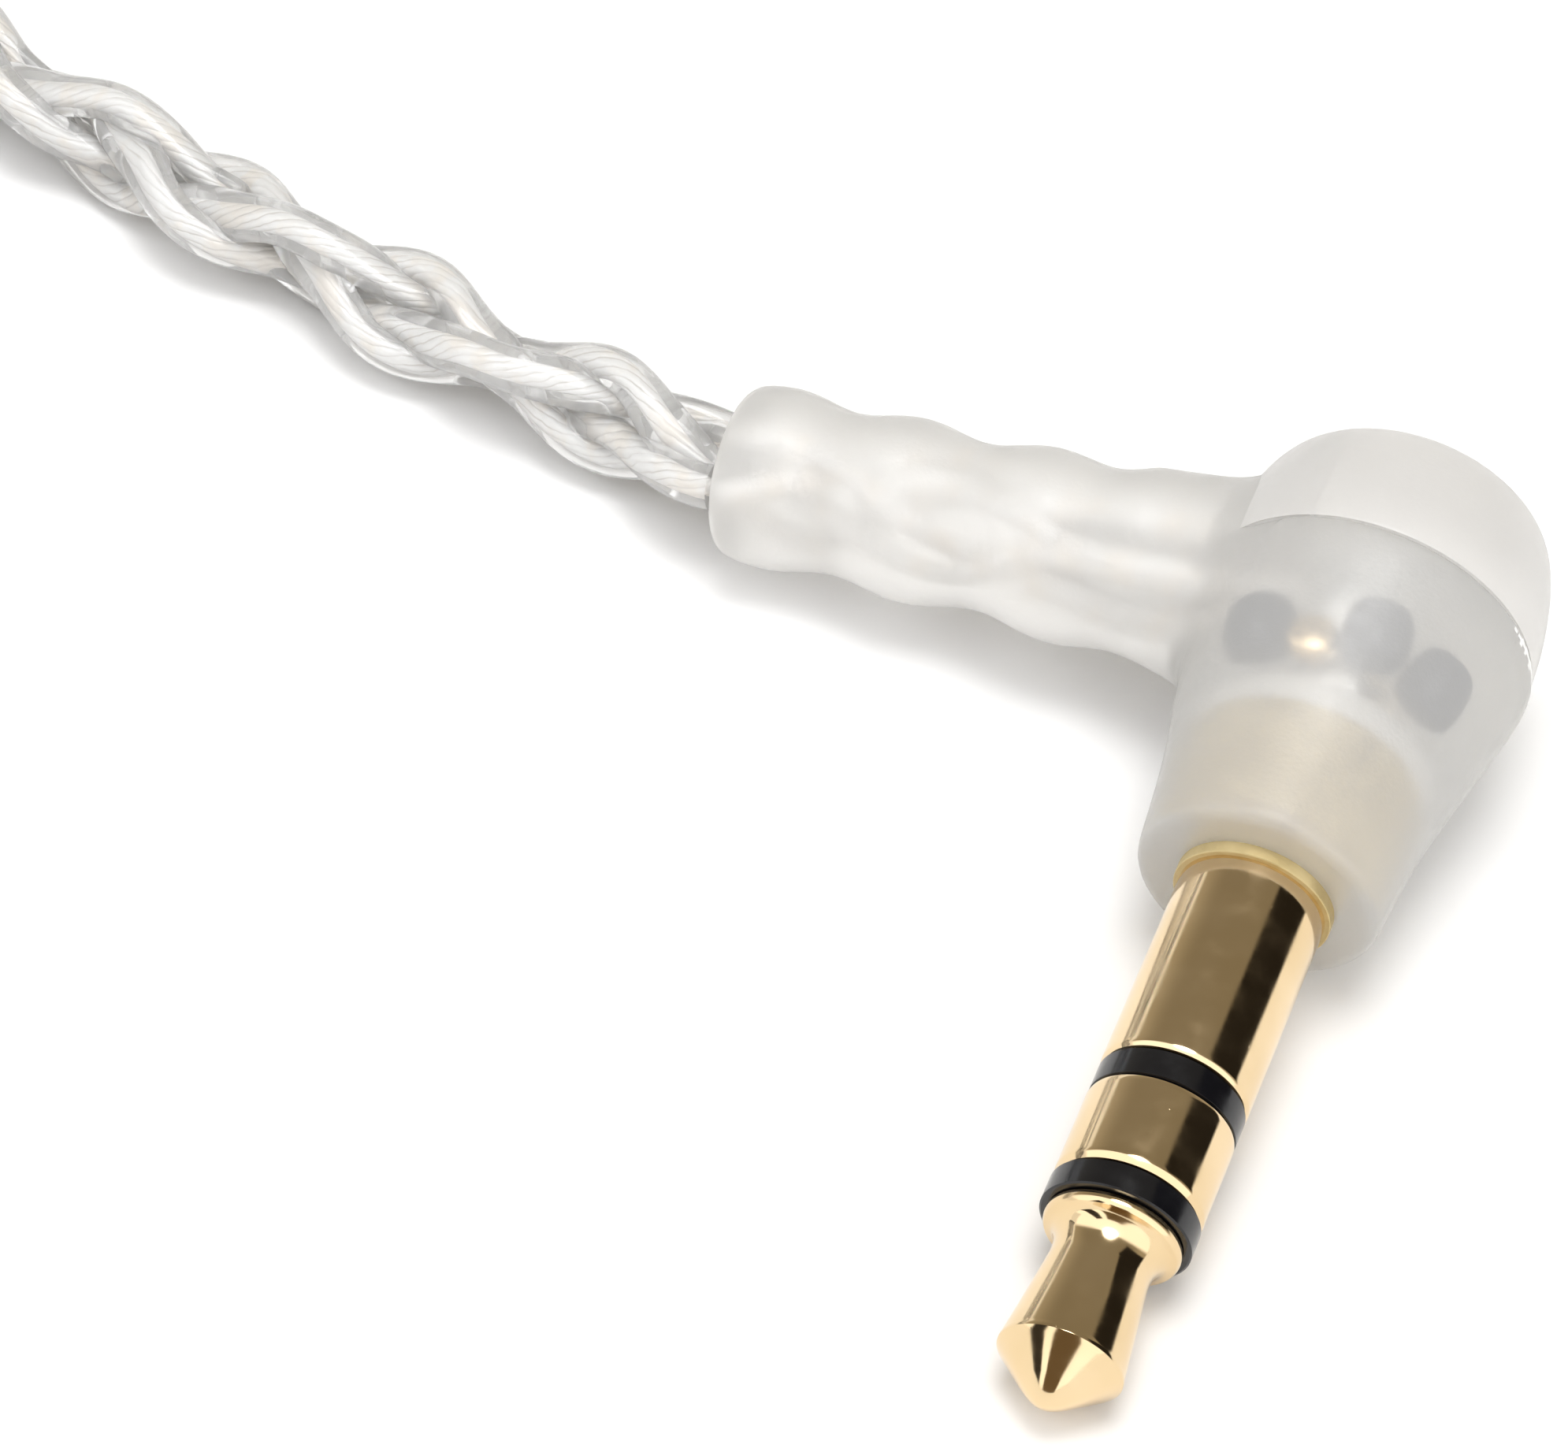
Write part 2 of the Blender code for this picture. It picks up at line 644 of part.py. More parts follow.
def make_connector(m, root, name, x):
    """The two-pin plug on a lead: its body, and two gold pins in blind holes."""
    face = MONITOR_Y + MONITOR_HALF[1] + 0.25
    parent = frame(f"{name}_connector_frame", Matrix.Translation(Vector((x, face, CONNECTOR_Z))), root)
    a, b = CONNECTOR_HALF
    sections = [
        (0.0, a, b, 5.0),
        (0.5, a + 0.1, b + 0.1, 5.0),
        (4.2, a, b, 4.0),
        (5.6, 1.9, 1.6, 2.4),
        (CONNECTOR_LENGTH, 1.45, 1.45, 2.0),
    ]
    loops = [ring(Y * s, X, Z, w, h, 20, power) for s, w, h, power in sections]
    body = loft(f"{name}_connector", loops, m["clear_grey"], parent)
    for kind, side in (("signal", -1), ("return", 1)):
        start = Vector((side * PIN_PITCH / 2, 0, 0))
        hole = [(-1.0, PIN_R + GAP), (PIN_ROOT, PIN_R + GAP)]
        bore = turned(f"{name}_{kind}_hole", hole, m["gold"], parent, start=start, count=12)
        combine(body, bore, "DIFFERENCE")
        pin = [(-PIN_DEPTH - 0.25, 0.22), (-PIN_DEPTH, PIN_R), (PIN_ROOT - GAP, PIN_R)]
        turned(f"{name}_pin_{kind}", pin, m["gold"], parent, start=start, count=12)


# ---------------------------------------------------------------- monitors


def shell_sections():
    """The shell's sections from the faceplate up to the nozzle: centre, normal, half
    width, half length and squareness."""
    a, b = MONITOR_HALF
    lean = NOZZLE_AXIS
    sections = [
        (Vector((0, 0, FACEPLATE_T + GAP)), Z, a, b, 2.5),
        (Vector((0.1, 0, 4.6)), Z, a + 0.3, b + 0.15, 2.5),
        (Vector((0.6, -0.3, 7.6)), Z.lerp(lean, 0.15), a - 0.5, b - 0.9, 2.3),
        (Vector((1.7, -0.9, 10.2)), Z.lerp(lean, 0.45), a - 2.2, b - 3.2, 2.1),
        (Vector((3.0, -1.6, 12.0)), Z.lerp(lean, 0.8), 4.2, 4.5, 2.0),
    ]
    sections = [(c, n.normalized(), w, h, p) for c, n, w, h, p in sections]
    nozzle = [(0.0, 3.0), (0.9, NOZZLE_R), (3.7, NOZZLE_R), (3.9, NOZZLE_LIP_R)]
    nozzle += [(NOZZLE_LENGTH - 0.2, NOZZLE_LIP_R), (NOZZLE_LENGTH, NOZZLE_LIP_R - 0.2)]
    for s, r in nozzle:
        sections.append((NOZZLE_BASE + lean * s, lean, r, r, 2.0))
    return sections


def mirrored(loops, side):
    return [[Vector((side * p.x, p.y, p.z)) for p in loop] for loop in loops]


def section_loops(sections):
    loops = []
    for centre, normal, w, h, power in sections:
        u, v = across(normal)
        loops.append(ring(centre, u, v, w, h, ROUND, power))
    return loops


def make_shell(m, parent, name, side):
    outer = shell_sections()
    inner = []
    for centre, normal, w, h, power in outer[:4]:
        drop = 0.0 if normal == Z else SHELL_WALL
        inner.append((centre - normal * drop, normal, w - SHELL_WALL, h - SHELL_WALL, power))
    inner.append((outer[4][0] - outer[4][1] * 1.0, outer[4][1], 3.0, 3.2, 2.0))
    for s in (0.2, NOZZLE_LENGTH):
        inner.append((NOZZLE_BASE + NOZZLE_AXIS * s, NOZZLE_AXIS, NOZZLE_BORE_R, NOZZLE_BORE_R, 2.0))
    loops = mirrored(section_loops(outer) + section_loops(inner)[::-1], side)
    shell = loft(f"{name}_shell", loops, m["smoke"], parent, hollow=True)
    low, high = socket_box(0.06)
    high.y += 4.0
    combine(shell, block(f"{name}_socket_window", low, high, m["smoke"], parent, 0.3), "DIFFERENCE")


def socket_box(spare=0.0):
    """The socket block's corners: its outer face stands level with the shell's end."""
    grow = Vector((spare, spare, spare))
    low = Vector((-2.3, MONITOR_HALF[1] - 3.6, CONNECTOR_Z - 1.45))
    high = Vector((2.3, MONITOR_HALF[1] + 0.15, CONNECTOR_Z + 1.45))
    return low - grow, high + grow


def make_socket(m, parent, name):
    low, high = socket_box()
    body = block(f"{name}_socket", low, high, m["black"], parent, 0.3)
    for kind, side in (("first", -1), ("second", 1)):
        start = Vector((side * PIN_PITCH / 2, high.y, CONNECTOR_Z))
        hole = [(-PIN_DEPTH - 0.25, PIN_R + 0.07), (1.0, PIN_R + 0.07)]
        made = turned(f"{name}_{kind}_socket_hole", hole, m["black"], parent, start=start, count=12)
        combine(body, made, "DIFFERENCE")


def make_faceplate(m, parent, name):
    a, b = MONITOR_HALF
    rim = [(0.0, -0.7), (0.35, -0.2), (0.8, 0.0), (FACEPLATE_T, 0.0)]
    loops = [ring(Z * z, X, Y, a + grow, b + grow, ROUND, 2.5) for z, grow in rim]
    loft(f"{name}_faceplate", loops, m["pearl"], parent)


def make_innards(m, parent, name, side):
    """Two balanced-armature drivers, the crossover board and the sound tube."""
    base = FACEPLATE_T + 1.0
    for piece, low, high, finish in (
        ("woofer", (-5.6, -6.2, base), (1.4, -1.8, base + 3.2), "steel"),
        ("tweeter", (-4.8, -0.6, base), (0.4, 2.4, base + 2.4), "steel"),
        ("crossover_board", (2.4, -4.2, base), (6.2, 3.8, base + 0.8), "board"),
    ):
        ends = sorted((side * low[0], side * high[0]))
        block(f"{name}_{piece}", (ends[0], *low[1:]), (ends[1], *high[1:]), m[finish], parent, 0.25)
    tube_profile = [(-4.2, 0.75), (-4.2, 1.25), (4.1, 1.25), (4.1, 0.75)]
    screen = [(4.3, NOZZLE_BORE_R - GAP), (4.6, NOZZLE_BORE_R - GAP)]
    for piece, profile, hollow, finish in (
        ("sound_tube", tube_profile, True, "clear"),
        ("nozzle_screen", screen, False, "steel"),
    ):
        along_nozzle(f"{name}_{piece}", profile, m[finish], parent, side, hollow)


def along_nozzle(name, profile, finish, parent, side, hollow):
    u, v = across(NOZZLE_AXIS)
    loops = [ring(NOZZLE_BASE + NOZZLE_AXIS * s, u, v, r, count=ROUND) for s, r in profile]
    return loft(name, mirrored(loops, side), finish, parent, hollow)


def make_ear_tip(m, parent, name, side):
    """A soft dome on a short core that grips the nozzle."""
    r = EAR_TIP_R
    profile = [
        (1.0, TIP_BORE_R),
        (5.3, TIP_BORE_R),
        (5.9, 2.0),
        (7.6, 2.0),
        (7.7, 3.1),
        (7.0, 4.4),
        (5.6, 5.4),
        (3.6, r - 0.1),
        (1.6, r),
        (1.5, r - 0.5),
        (3.6, r - 0.7),
        (5.2, 4.6),
        (5.6, 3.6),
        (1.0, 3.5),
    ]
    along_nozzle(f"{name}_ear_tip", profile, m["silicone"], parent, side, True)


def make_monitor(m, root, name, side, x):
    placing = Matrix.Translation(Vector((x, MONITOR_Y, 0)))
    parent = frame(f"{name}_monitor_frame", placing, root)
    make_faceplate(m, parent, name)
    make_shell(m, parent, name, side)
    make_socket(m, parent, name)
    make_innards(m, parent, name, side)
    make_ear_tip(m, parent, name, side)


def finishes():
    return {
        "gold": material("gold", (0.83, 0.62, 0.28), 0.12, 1.0),
        "black": material("black_plastic", (0.015, 0.015, 0.018), 0.25),
        "frosted": material("frosted_plastic", (0.86, 0.86, 0.84), 0.45),
        "silver": material("silver_wire", (0.9, 0.89, 0.87), 0.2, 1.0),
        "clear": material("clear_tube", (0.85, 0.86, 0.87), 0.15),
        "clear_grey": material("connector_plastic", (0.55, 0.56, 0.57), 0.2),
        "smoke": material("shell_plastic", (0.72, 0.74, 0.76), 0.1),
        "pearl": material("faceplate_plastic", (0.82, 0.82, 0.8), 0.15),
        "steel": material("driver_steel", (0.6, 0.6, 0.6), 0.3, 1.0),
        "board": material("board", (0.03, 0.16, 0.08), 0.4),
        "silicone": material("silicone", (0.75, 0.76, 0.77), 0.5),
        "tie": material("tie_rubber", (0.06, 0.06, 0.065), 0.55),
    }


def main():
    clear_scene()
    m = finishes()
    root = frame("set", Matrix.Translation(-ORIGIN))
    make_plug(m, root)
    coil_top = make_cords(m, root)
    make_tie(m, root, coil_top)
    make_splitter(m, root)
    make_slider(m, root)
    for name, side in SIDES:
        x = COIL_CENTRE.x + (PAIR_IN if side < 0 else PAIR_OUT) + side * 2 * HOOK_R
        make_connector(m, root, name, x)
        make_monitor(m, root, name, side, x)
    bpy.context.view_layer.update()


main()
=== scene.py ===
"""Looks for the in-ear monitors: the plug, its braided cable and the monitors, on a white floor.

Lengths are written in millimetres in the set's own frame, whose origin is the plug's flange,
and at() turns them into the shared frame's metres.
"""

import math

import bmesh
import bpy
import numpy as np
from mathutils import Matrix, Vector


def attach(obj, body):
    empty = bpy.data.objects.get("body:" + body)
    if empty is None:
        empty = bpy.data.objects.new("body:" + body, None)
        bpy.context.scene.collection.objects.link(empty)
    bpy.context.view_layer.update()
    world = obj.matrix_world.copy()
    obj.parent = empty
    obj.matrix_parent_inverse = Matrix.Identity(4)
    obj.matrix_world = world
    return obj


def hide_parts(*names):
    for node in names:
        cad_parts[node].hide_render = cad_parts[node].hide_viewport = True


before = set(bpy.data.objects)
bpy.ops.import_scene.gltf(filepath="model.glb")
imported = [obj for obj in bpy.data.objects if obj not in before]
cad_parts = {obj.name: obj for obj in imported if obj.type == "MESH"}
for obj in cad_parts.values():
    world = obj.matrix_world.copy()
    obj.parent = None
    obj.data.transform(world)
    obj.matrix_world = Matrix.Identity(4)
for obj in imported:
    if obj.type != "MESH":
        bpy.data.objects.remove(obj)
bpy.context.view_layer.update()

MM = 0.001
X, Y, Z = Vector((1, 0, 0)), Vector((0, 1, 0)), Vector((0, 0, 1))
ORIGIN = Vector((-40.78, 23.12, 0))

# Plug
HEAD = [(0.3, 2.86), (0.8, 2.94), (2.9, 3.16), (4.7, 3.5), (6.5, 3.9), (7.7, 4.13), (8.3, 4.15)]
BOOT_Y = 8.76
BOOT_END = 16.1
BOOT_R = 2.12
BULGE_HEIGHT = 0.1
TIP_BULGE_R = 1.45
TIP_BULGE_AT = 12.85

# Cords
CABLE_D = 2.9
LEAD_D = 2.0
COIL_CENTRE = Vector((-69.5, 8.0, 0))
TRACK = 2.93
COIL_IN = 10.68
COIL_OUT = 22.4
LOW_ROW = 2.2
HIGH_ROW = 4.75
PAIR_IN = 15.4
PAIR_OUT = 17.6
PAIR_ROWS = (7.55, 9.6, 11.6)
SLIDER_Z = 1.8
HOOK_R = 10.0
HOOK_START = 68.5
CONNECTOR_Z = 4.4
SPLITTER_AT = (135.5, 27.6, 2.56)  # bearing, radius and height on the coil
TIE_BEARING = 300.0
SIDES = (("right", -1), ("left", 1))

CABLE_ROUTE = [
    (-16.29, 8.97, 2.3),
    (-18.0, 9.4, 2.13),
    (-21.4, 10.3, 1.76),
    (-25.1, 11.15, 1.65),
    (-31.1, 12.75, 1.65),
    (-38.0, 14.8, 1.65),
    (-42.5, 16.4, 1.76),
    (-46.3, 18.5, 2.0),
]
LEAVING_ROUTE = [(60, 20.0, 4.8), (72, 21.3, 5.0), (84, 23.1, 5.15), (93, 24.5, 5.0)]
TAIL_ROUTE = [(101, 25.75, 4.6), (108, 26.6, 3.7), (115, 27.2, 2.9), (121.5, 27.9, 2.56)]
ENTRY_TURN = (150.5, 165, 180, 195, 210, 225, 240, 250)
ENTRY_RADIUS = (28.3, 28.0, 26.9, 24.9, 22.4, 19.6, 17.4, 16.5)
ENTRY_HEIGHT = (2.56, 4.4, 6.9, 8.0, 7.9, 7.65, 7.55, 7.55)


# ---------------------------------------------------------------- helpers


def at(point):
    """A point of the set's frame, in the shared frame's metres."""
    return (Vector(point) - ORIGIN) * MM


def plug_rest():
    """The plug's placing where it lies on its head, its tip and the boot's end."""
    slope, head_at, head_r = max(((r - TIP_BULGE_R) / (y + TIP_BULGE_AT), y, r) for y, r in HEAD)
    pitch = math.atan(slope)
    roll = -math.asin((head_r - BOOT_R - BULGE_HEIGHT) / BOOT_END)
    turn = Matrix.Rotation(pitch, 4, "X") @ Matrix.Rotation(roll, 4, "Y")
    up = Vector(turn[2][:3])
    reach = math.hypot(up.x, up.z)
    lowest = min(up.y * head_at - head_r * reach, -up.y * TIP_BULGE_AT - TIP_BULGE_R * reach)
    return Matrix.Translation(Vector((0, 0, -lowest))) @ turn


PLUG = plug_rest()


def on_coil(degrees, radius, height):
    """A point by its bearing around the coil's middle, and its height over the floor."""
    angle = math.radians(degrees)
    return COIL_CENTRE + Vector((radius * math.cos(angle), radius * math.sin(angle), height))


def ease(t):
    """Passes softly from 0 to 1 as t does, and stays there."""
    t = min(1.0, max(0.0, t))
    return t * t * (3 - 2 * t)


def curve(a, b, c, d, t):
    """Where the smooth curve through four numbers or points is, a share t from b to c."""
    square = 2 * a - 5 * b + 4 * c - d
    cube = 3 * b - a - 3 * c + d
    return 0.5 * (2 * b + (c - a) * t + square * t**2 + cube * t**3)


def smooth_rows(rows, steps):
    """Rows of numbers with more between them, on a smooth curve through each column."""
    ends = [rows[0], *rows, rows[-1]]
    out = [rows[0]]
    for four in zip(ends, ends[1:], ends[2:], ends[3:]):
        for k in range(1, steps + 1):
            out.append(tuple(curve(*column, k / steps) for column in zip(*four)))
    return out


def smooth_line(points, spacing):
    """Points at an even spacing along a smooth curve through the given points."""
    points = [Vector(p) for p in points]
    ends = [2 * points[0] - points[1], *points, 2 * points[-1] - points[-2]]
    fine = [points[0]]
    for a, b, c, d in zip(ends, ends[1:], ends[2:], ends[3:]):
        fine += [curve(a, b, c, d, k / 16) for k in range(1, 17)]
    total = sum((b - a).length for a, b in zip(fine, fine[1:]))
    step = total / max(2, round(total / spacing))
    line, travelled = [fine[0]], 0.0
    for a, b in zip(fine, fine[1:]):
        long = (b - a).length
        while travelled + long >= step * len(line) - 1e-6 and long > 0:
            line.append(a.lerp(b, (step * len(line) - travelled) / long))
        travelled += long
    return line


def new_mesh(name, points, faces, finish, uv=None, sharp=40, outward=False):
    """A mesh object from points in the set's frame."""
    mesh = bpy.data.meshes.new(name)
    scaled = (np.asarray(points, float) - np.array(ORIGIN)) * MM
    mesh.from_pydata(scaled.tolist(), [], [list(f) for f in faces])
    mesh.materials.append(finish)
    if uv is not None:
        layer = mesh.uv_layers.new(name="along")
        layer.data.foreach_set("uv", np.asarray(uv, np.float32).ravel())
    mesh.validate()
    mesh.update()
    if outward:
        turn_outward(mesh)
    made = bpy.data.objects.new(name, mesh)
    bpy.context.collection.objects.link(made)
    reshade(made, sharp)
    return made


def turn_outward(mesh):
    """Makes every face of a closed mesh look outward."""
    bm = bmesh.new()
    bm.from_mesh(mesh)
    bmesh.ops.recalc_face_normals(bm, faces=bm.faces)
    bm.to_mesh(mesh)
    bm.free()


def belong(piece, body, slot, *replaced):
    """Says which body a piece moves with and which CAD nodes it stands for, and hides those nodes. The slot
    argument is not used."""
    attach(piece, body)
    if replaced:
        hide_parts(*replaced)
    return piece


def across(axis):
    """Two directions across an axis, the same ones each time."""
    u = (X if abs(axis.x) < 0.9 else Y).copy()
    u = (u - axis * u.dot(axis)).normalized()
    return u, axis.cross(u)


def ring(centre, u, v, a, b=None, count=96, power=2.0):
    """Points around an ellipse, or a superellipse where power is over 2."""
    b = a if b is None else b
    points = []
    for k in range(count):
        c, s = math.cos(2 * math.pi * k / count), math.sin(2 * math.pi * k / count)
        wide = a * math.copysign(abs(c) ** (2 / power), c)
        long = b * math.copysign(abs(s) ** (2 / power), s)
        points.append(centre + u * wide + v * long)
    return points


def loft(name, loops, finish, closed=False, sharp=35):
    """A closed solid through loops of points. A closed one joins its last loop to its
    first; any other has flat ends."""
    count = len(loops[0])
    points = [tuple(p) for loop in loops for p in loop]
    faces = []
    for low in range(len(loops) if closed else len(loops) - 1):
        high = (low + 1) % len(loops)
        for k in range(count):
            after = (k + 1) % count
            at_low, at_high = low * count, high * count
            faces.append((at_low + k, at_low + after, at_high + after, at_high + k))
    if not closed:
        faces.append(tuple(range(count)))
        faces.append(tuple(range((len(loops) - 1) * count, len(loops) * count)))
    return new_mesh(name, points, faces, finish, None, sharp, outward=True)


def turned(
    name, profile, finish, closed=False, start=Vector(), axis=Y, placing=Matrix(), count=96, sharp=35
):
    """A turned piece: profile holds (distance along axis, radius) pairs."""
    u, v = across(axis)
    loops = []
    for s, r in profile:
        loops.append([placing @ p for p in ring(start + axis * s, u, v, r, count=count)])
    return loft(name, loops, finish, closed, sharp)


def combine(target, tool, operation):
    """Joins one object's shape to another, or cuts it out, and removes the first one."""
    add_step(target, "BOOLEAN", operation=operation, object=tool, solver="EXACT")
    settle(target)
    bpy.data.objects.remove(tool, do_unlink=True)


def add_step(piece, kind, **settings):
    """Adds a modifier to a piece."""
    step = piece.modifiers.new(kind.lower(), kind)
    for key, value in settings.items():
        setattr(step, key, value)


def reshade(piece, sharp):
    """Smooth shading, but for the edges that turn by more than sharp degrees."""
    piece.data.shade_smooth()
    piece.data.set_sharp_from_angle(angle=math.radians(sharp))


def settle(piece):
    """Applies a piece's modifiers to its mesh."""
    seen = bpy.context.evaluated_depsgraph_get()
    mesh = bpy.data.meshes.new_from_object(piece.evaluated_get(seen))
    piece.modifiers.clear()
    piece.data = mesh


# ---------------------------------------------------------------- node trees


class Nodes:
    """A node tree with short ways to add to it."""

    def __init__(self, tree):
        self.tree = tree

    def feed(self, socket, value):
        if isinstance(value, bpy.types.NodeSocket):
            self.tree.links.new(value, socket)
        else:
            socket.default_value = value

    def add(self, kind, inputs, **settings):
        node = self.tree.nodes.new("ShaderNode" + kind)
        for key, value in settings.items():
            setattr(node, key, value)
        for key, value in inputs.items():
            self.feed(node.inputs[key], value)
        return node

    def maths(self, operation, *values):
        inputs = dict(enumerate(values))
        return self.add("Math", inputs, operation=operation).outputs[0]

    def between(self, value, from_low, from_high, low=0.0, high=1.0):
        """The value moved softly from one range to another, held at its ends."""
        inputs = {"Value": value, "From Min": from_low, "From Max": from_high, "To Min": low, "To Max": high}
        return self.add("MapRange", inputs, interpolation_type="SMOOTHSTEP").outputs[0]

    def mix(self, share, low, high):
        """One colour passing into another."""
        inputs = {0: share, 6: shade(low), 7: shade(high)}
        return self.add("Mix", inputs, data_type="RGBA", clamp_factor=True).outputs[2]


def shade(colour):
    """A colour with the fourth number that a socket wants, or a socket as it is."""
    return colour if isinstance(colour, bpy.types.NodeSocket) else (*colour, 1)


class Finish(Nodes):
    """A material. Its lengths are in millimetres."""

    def __init__(self, name, colour, roughness, metallic=0.0, **fixed):
        self.made = bpy.data.materials.new(name)
        self.made.use_nodes = True
        super().__init__(self.made.node_tree)
        self.shader = self.tree.nodes["Principled BSDF"]
        self.set("Base Color", shade(colour))
        self.set("Roughness", roughness)
        self.set("Metallic", metallic)
        for key, value in fixed.items():
            self.set(key.replace("_", " "), value)
        self.place = self.add("TexCoord", {}).outputs["Object"]
        self.normal = None

    def set(self, socket, value):
        self.feed(self.shader.inputs[socket], value)

    def wander(self, socket, size, low, high, detail=2.0):
        """Lets one of the shader's numbers wander between two values."""
        self.set(socket, self.between(self.noise(size, detail), 0.3, 0.7, low, high))

    def mottle(self, size, low, high, detail=2.0):
        """Mixes the base colour from two, in soft patches."""
        self.set("Base Color", self.mix(self.noise(size, detail), low, high))

    def noise(self, size, detail=2.0, roughness=0.5, place=None, distortion=0.0):
        inputs = {
            "Vector": place or self.place,
            "Scale": 1000.0 / size,
            "Detail": detail,
            "Roughness": roughness,
            "Distortion": distortion,
        }
        return self.add("TexNoise", inputs).outputs["Fac"]

    def cells(self, size, feature="F1"):
        inputs = {"Vector": self.place, "Scale": 1000.0 / size}
        return self.add("TexVoronoi", inputs, feature=feature).outputs["Distance"]

    def stretched(self, x, y, z):
        scale = self.add("VectorMath", {0: self.place, 1: (x, y, z)}, operation="MULTIPLY")
        return scale.outputs[0]

    def bump(self, height, depth):
        inputs = {"Height": height, "Distance": depth * MM, "Strength": 1.0}
        if self.normal is not None:
            inputs["Normal"] = self.normal
        self.normal = self.add("Bump", inputs).outputs[0]
        self.set("Normal", self.normal)


# ---------------------------------------------------------------- finishes


def gold(name="gold", wear=1.0):
    """Hard gold plate: nearly a mirror, with fine pits and a little orange peel."""
    it = Finish(name, (0.79, 0.61, 0.37), 0.1, 1.0)
    tint = it.between(it.noise(2.6, 3), 0.35, 0.7)
    it.set("Base Color", it.mix(tint, (0.76, 0.58, 0.34), (0.82, 0.64, 0.40)))
    it.set("Roughness", it.between(it.noise(0.9, 4), 0.3, 0.75, 0.055, 0.13 + 0.05 * wear))
    it.bump(it.noise(0.12, 2), 0.0003 * wear)
    it.bump(it.between(it.cells(0.6), 0.02, 0.05, 1.0, 0.0), 0.002 * wear)
    return it.made


def matte_gold():
    """The same plate where it was blasted before plating."""
    it = Finish("matte_gold", (0.54, 0.43, 0.22), 0.5, 0.45)
    it.set("Metallic", it.between(it.noise(1.3, 3), 0.35, 0.65, 0.15, 0.8))
    it.mottle(0.7, (0.48, 0.38, 0.18), (0.60, 0.48, 0.25), 3)
    it.wander("Roughness", 0.3, 0.42, 0.6)
    it.bump(it.noise(0.1, 2), 0.01)
    return it.made


def glossy_black():
    """The smooth black plastic between the contacts."""
    it = Finish("black_insulator", (0.006, 0.007, 0.009), 0.12)
    it.wander("Roughness", 0.7, 0.14, 0.26, 3)
    it.mottle(1.1, (0.003, 0.003, 0.004), (0.006, 0.006, 0.008))
    it.bump(it.noise(0.2), 0.002)
    return it.made


def dark_plastic(name, low, high, roughness, grain):
    """Moulded plastic or rubber with a fine grain."""
    it = Finish(name, low, roughness)
    it.set("Base Color", it.mix(it.between(it.noise(3.0, 4), 0.3, 0.7), low, high))
    it.wander("Roughness", 0.8, roughness - 0.07, roughness + 0.08, 3)
    it.bump(it.noise(grain, 3), 0.012)
    it.bump(it.noise(2.2), 0.02)
    return it.made


def frosted(name, colour, milk, roughness):
    """Frosted clear plastic with a little milkiness in it."""
    it = Finish(name, colour, roughness, Transmission_Weight=milk, IOR=1.45)
    cloud = it.between(it.noise(2.4, 3), 0.3, 0.7)
    it.set("Base Color", it.mix(cloud, tuple(c * 0.975 for c in colour), colour))
    it.wander("Roughness", 0.5, roughness - 0.04, roughness + 0.05, 3)
    it.bump(it.noise(0.12, 3), 0.006)
    it.bump(it.noise(1.6, 2), 0.03)
    return it.made


def clear(name, colour, roughness):
    """Clear plastic, smooth but not perfectly even."""
    it = Finish(name, colour, roughness, Transmission_Weight=1.0, IOR=1.45)
    it.mottle(2.0, tuple(c * 0.97 for c in colour), colour)
    it.wander("Roughness", 0.8, roughness * 0.6, roughness * 1.5)
    it.bump(it.noise(0.9, 2), 0.01)
    return it.made


def milky_jacket():
    """The strands' clear jacket, with the faint milkiness of polyethylene."""
    it = Finish("clear_jacket", (0.985, 0.985, 0.98), 0.08, Transmission_Weight=0.76, IOR=1.36)
    it.mottle(2.0, (0.97, 0.97, 0.967), (0.99, 0.99, 0.986))
    it.wander("Roughness", 0.8, 0.05, 0.12)
    it.bump(it.noise(0.9, 2), 0.006)
    return it.made


def silver_wires():
    """A bundle of fine silver-plated wires, twisted: U runs along the strand in
    millimetres and V runs once around it."""
    it = Finish("silver_wires", (0.98, 0.975, 0.965), 0.3, 0.12)
    u, v, _ = it.add("SeparateXYZ", {0: it.add("TexCoord", {}).outputs["UV"]}).outputs
    wobble = it.maths("MULTIPLY", it.noise(0.8, 3), 1.3)
    lay = it.maths("ADD", it.maths("MULTIPLY", u, 1.9), it.maths("MULTIPLY", v, 7.0))
    lay = it.maths("MULTIPLY", it.maths("ADD", lay, wobble), math.pi)
    ridge = it.maths("ABSOLUTE", it.maths("SINE", lay))
    warm = it.between(it.noise(0.9, 3), 0.45, 0.65)
    colour = it.mix(warm, (0.99, 0.988, 0.98), (0.98, 0.92, 0.84))
    # Painted shade: the grooves between the wires are darkened toward brown-grey in the base colour, in
    # patches.
    groove = it.between(ridge, 0.0, 0.5, 1.0, 0.0)
    painted_groove_shade = it.maths("MULTIPLY", groove, it.between(it.noise(1.3, 2), 0.35, 0.65, 0.2, 0.9))
    it.set("Base Color", it.mix(painted_groove_shade, colour, (0.64, 0.60, 0.55)))
    it.wander("Roughness", 0.35, 0.3, 0.45)
    it.bump(ridge, 0.02)
    return it.made


def pearl():
    """Pearly faceplate: soft swirls of cream, grey and faint blue under a clear coat."""
    it = Finish("pearl", (0.85, 0.85, 0.83), 0.22, Coat_Weight=1.0, Coat_Roughness=0.04)
    swirl = it.noise(5.5, 5, 0.6, distortion=2.2)
    bands = it.between(swirl, 0.35, 0.65)
    colour = it.mix(bands, (0.90, 0.89, 0.86), (0.62, 0.66, 0.71))
    flakes = it.between(it.cells(0.5), 0.1, 0.4, 1.0, 0.0)
    it.set("Base Color", it.mix(it.maths("MULTIPLY", flakes, 0.35), colour, (0.97, 0.93, 0.90)))
    it.set("Metallic", it.between(swirl, 0.4, 0.75, 0.0, 0.35))
    it.wander("Roughness", 0.6, 0.14, 0.26, 3)
    it.bump(swirl, 0.02)
    return it.made


